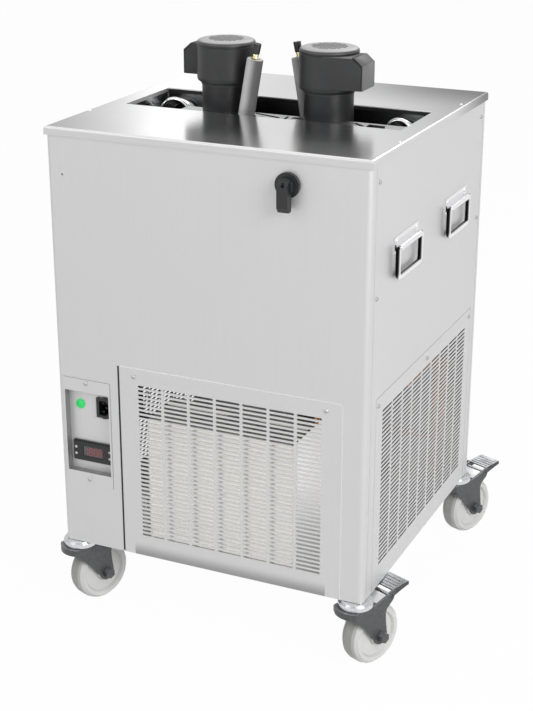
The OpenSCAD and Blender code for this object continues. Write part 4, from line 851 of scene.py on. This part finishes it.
rim = {"wide": 1.3, "deep": 0.8, "y": -260.1, "beyond": 0.5, "bevel": 0.3}
bm = bmesh.new()
overGrille = at(grilleMid.x, rim["y"], grilleHigh.z + rim["beyond"])
addBlock(bm, (grilleSize.x, rim["deep"], rim["wide"]), overGrille, rim["bevel"])
besideGrille = at(grilleHigh.x + rim["beyond"], rim["y"], grilleMid.z)
addBlock(bm, (rim["wide"], rim["deep"], grilleSize.z), besideGrille, rim["bevel"])
finishPiece(bm, "grilleEdgeHighlight", brightSteel, "body")

# Sheets at the right and the left of the condenser, seen through the front grille
sheet = {"y": -236, "thick": 1.2, "right": [(141.2, 127.3), (181, 127.3), (181, 402), (141.2, 358)],
         "left": [(-146, 127.3), (-121.2, 127.3), (-121.2, 215), (-146, 206)]}
standing = at(0, sheet["y"], 0) @ turnedBy(90, "X")
for name, outline, material in (("condenserPlate", sheet["right"], sidePlateSteel),
                                ("condenserFoot", sheet["left"], finAluminium)):
    bm = bmesh.new()
    addPrism(bm, outline, -sheet["thick"], 0, standing)
    finishPiece(bm, name, material, "body")
print("small parts added")

studio = {"floor": 30.0, "floorTone": 0.85, "floorLight": 0.97, "worldLight": 0.36, "aim": (0, 0, 0.45),
          "across": (-0.4, 0.4), "behind": (0.7, 0.88)}

bm = bmesh.new()
bmesh.ops.create_grid(bm, x_segments=1, y_segments=1, size=studio["floor"])
mesh = bpy.data.meshes.new("studioFloor")
bm.to_mesh(mesh)
bm.free()
floor = bpy.data.objects.new("studioFloor", mesh)
scene.collection.objects.link(floor)
floorPaint = bpy.data.materials.new("floorPaint")
floorPaint.use_nodes = True
tree = floorPaint.node_tree
tree.nodes.clear()
path = addNode(tree, "ShaderNodeLightPath").outputs
seen = calculate(tree, "MAXIMUM", path["Is Camera Ray"], path["Is Glossy Ray"])
share = product(tree, seen, studio["floorLight"])
diffuse = addNode(tree, "ShaderNodeBsdfDiffuse", {"Color": (*[studio["floorTone"]] * 3, 1)}).outputs[0]
glow = addNode(tree, "ShaderNodeEmission", {"Strength": 1.0}).outputs[0]
blend = addNode(tree, "ShaderNodeMixShader", {"Fac": share, 1: diffuse, 2: glow}).outputs[0]
addNode(tree, "ShaderNodeOutputMaterial", {"Surface": blend})
floor.data.materials.append(floorPaint)

world = bpy.data.worlds.new("studioWorld")
world.use_nodes = True
scene.world = world
tree = world.node_tree
tree.nodes.clear()
path = addNode(tree, "ShaderNodeLightPath").outputs
seen = calculate(tree, "MAXIMUM", path["Is Camera Ray"], path["Is Glossy Ray"])
seen = calculate(tree, "MAXIMUM", seen, path["Is Transmission Ray"])

# What metal mirrors behind the object: a bright panel on the left, falling off to a dark one on the right
panels = [(0.0, 1.0), (0.072, 1.0), (0.24, 0.5), (0.33, 0.45), (0.358, 0.62), (0.391, 0.8), (0.404, 1.2),
          (0.446, 1.2), (0.462, 0.85), (0.5, 0.74), (0.58, 0.76), (0.6, 0.7), (0.63, 0.6), (0.67, 0.42),
          (0.76, 0.4), (0.93, 1.0)]
cosTurn, sinTurn = math.cos(math.radians(view["turn"])), math.sin(math.radians(view["turn"]))
sight = coordinate(tree, "Generated")
across = ramp(tree, dotProduct(tree, sight, (cosTurn, sinTurn, 0)), studio["across"], smooth=False)
behind = ramp(tree, dotProduct(tree, sight, (-sinTurn, cosTurn, 0)), studio["behind"])
band = addNode(tree, "ShaderNodeValToRGB", {"Fac": across})
while len(band.color_ramp.elements) < len(panels):
    band.color_ramp.elements.new(0.5)
for element, (place, tone) in zip(band.color_ramp.elements, panels):
    element.position = place
    element.color = (tone, tone, tone, 1)
mirrored = product(tree, behind, path["Is Glossy Ray"])
backdrop = mixColours(tree, mirrored, (1, 1, 1), band.outputs["Color"])
sockets = {"Color": (1, 1, 1, 1), "Strength": studio["worldLight"]}
soft = addNode(tree, "ShaderNodeBackground", sockets).outputs[0]
white = addNode(tree, "ShaderNodeBackground", {"Color": backdrop, "Strength": 1.0}).outputs[0]
blend = addNode(tree, "ShaderNodeMixShader", {"Fac": seen, 1: soft, 2: white}).outputs[0]
addNode(tree, "ShaderNodeOutputWorld", {"Surface": blend})

lamps = {
    "keyLamp": {"place": (-1.7, -2.8, 2.8), "size": 2.0, "power": 24},
    "sideLamp": {"place": (2.9, -1.9, 2.2), "size": 2.0, "power": 88},
    "backLamp": {"place": (0.2, 2.6, 2.8), "size": 1.8, "power": 22},
}
for name, lamp in lamps.items():
    data = bpy.data.lights.new(name, "AREA")
    data.shape = "DISK"
    data.size = lamp["size"]
    data.energy = lamp["power"]
    light = bpy.data.objects.new(name, data)
    light.location = lamp["place"]
    aim = Vector(studio["aim"]) - Vector(lamp["place"])
    light.rotation_euler = aim.to_track_quat("-Z", "Y").to_euler()
    scene.collection.objects.link(light)
print("studio ready")
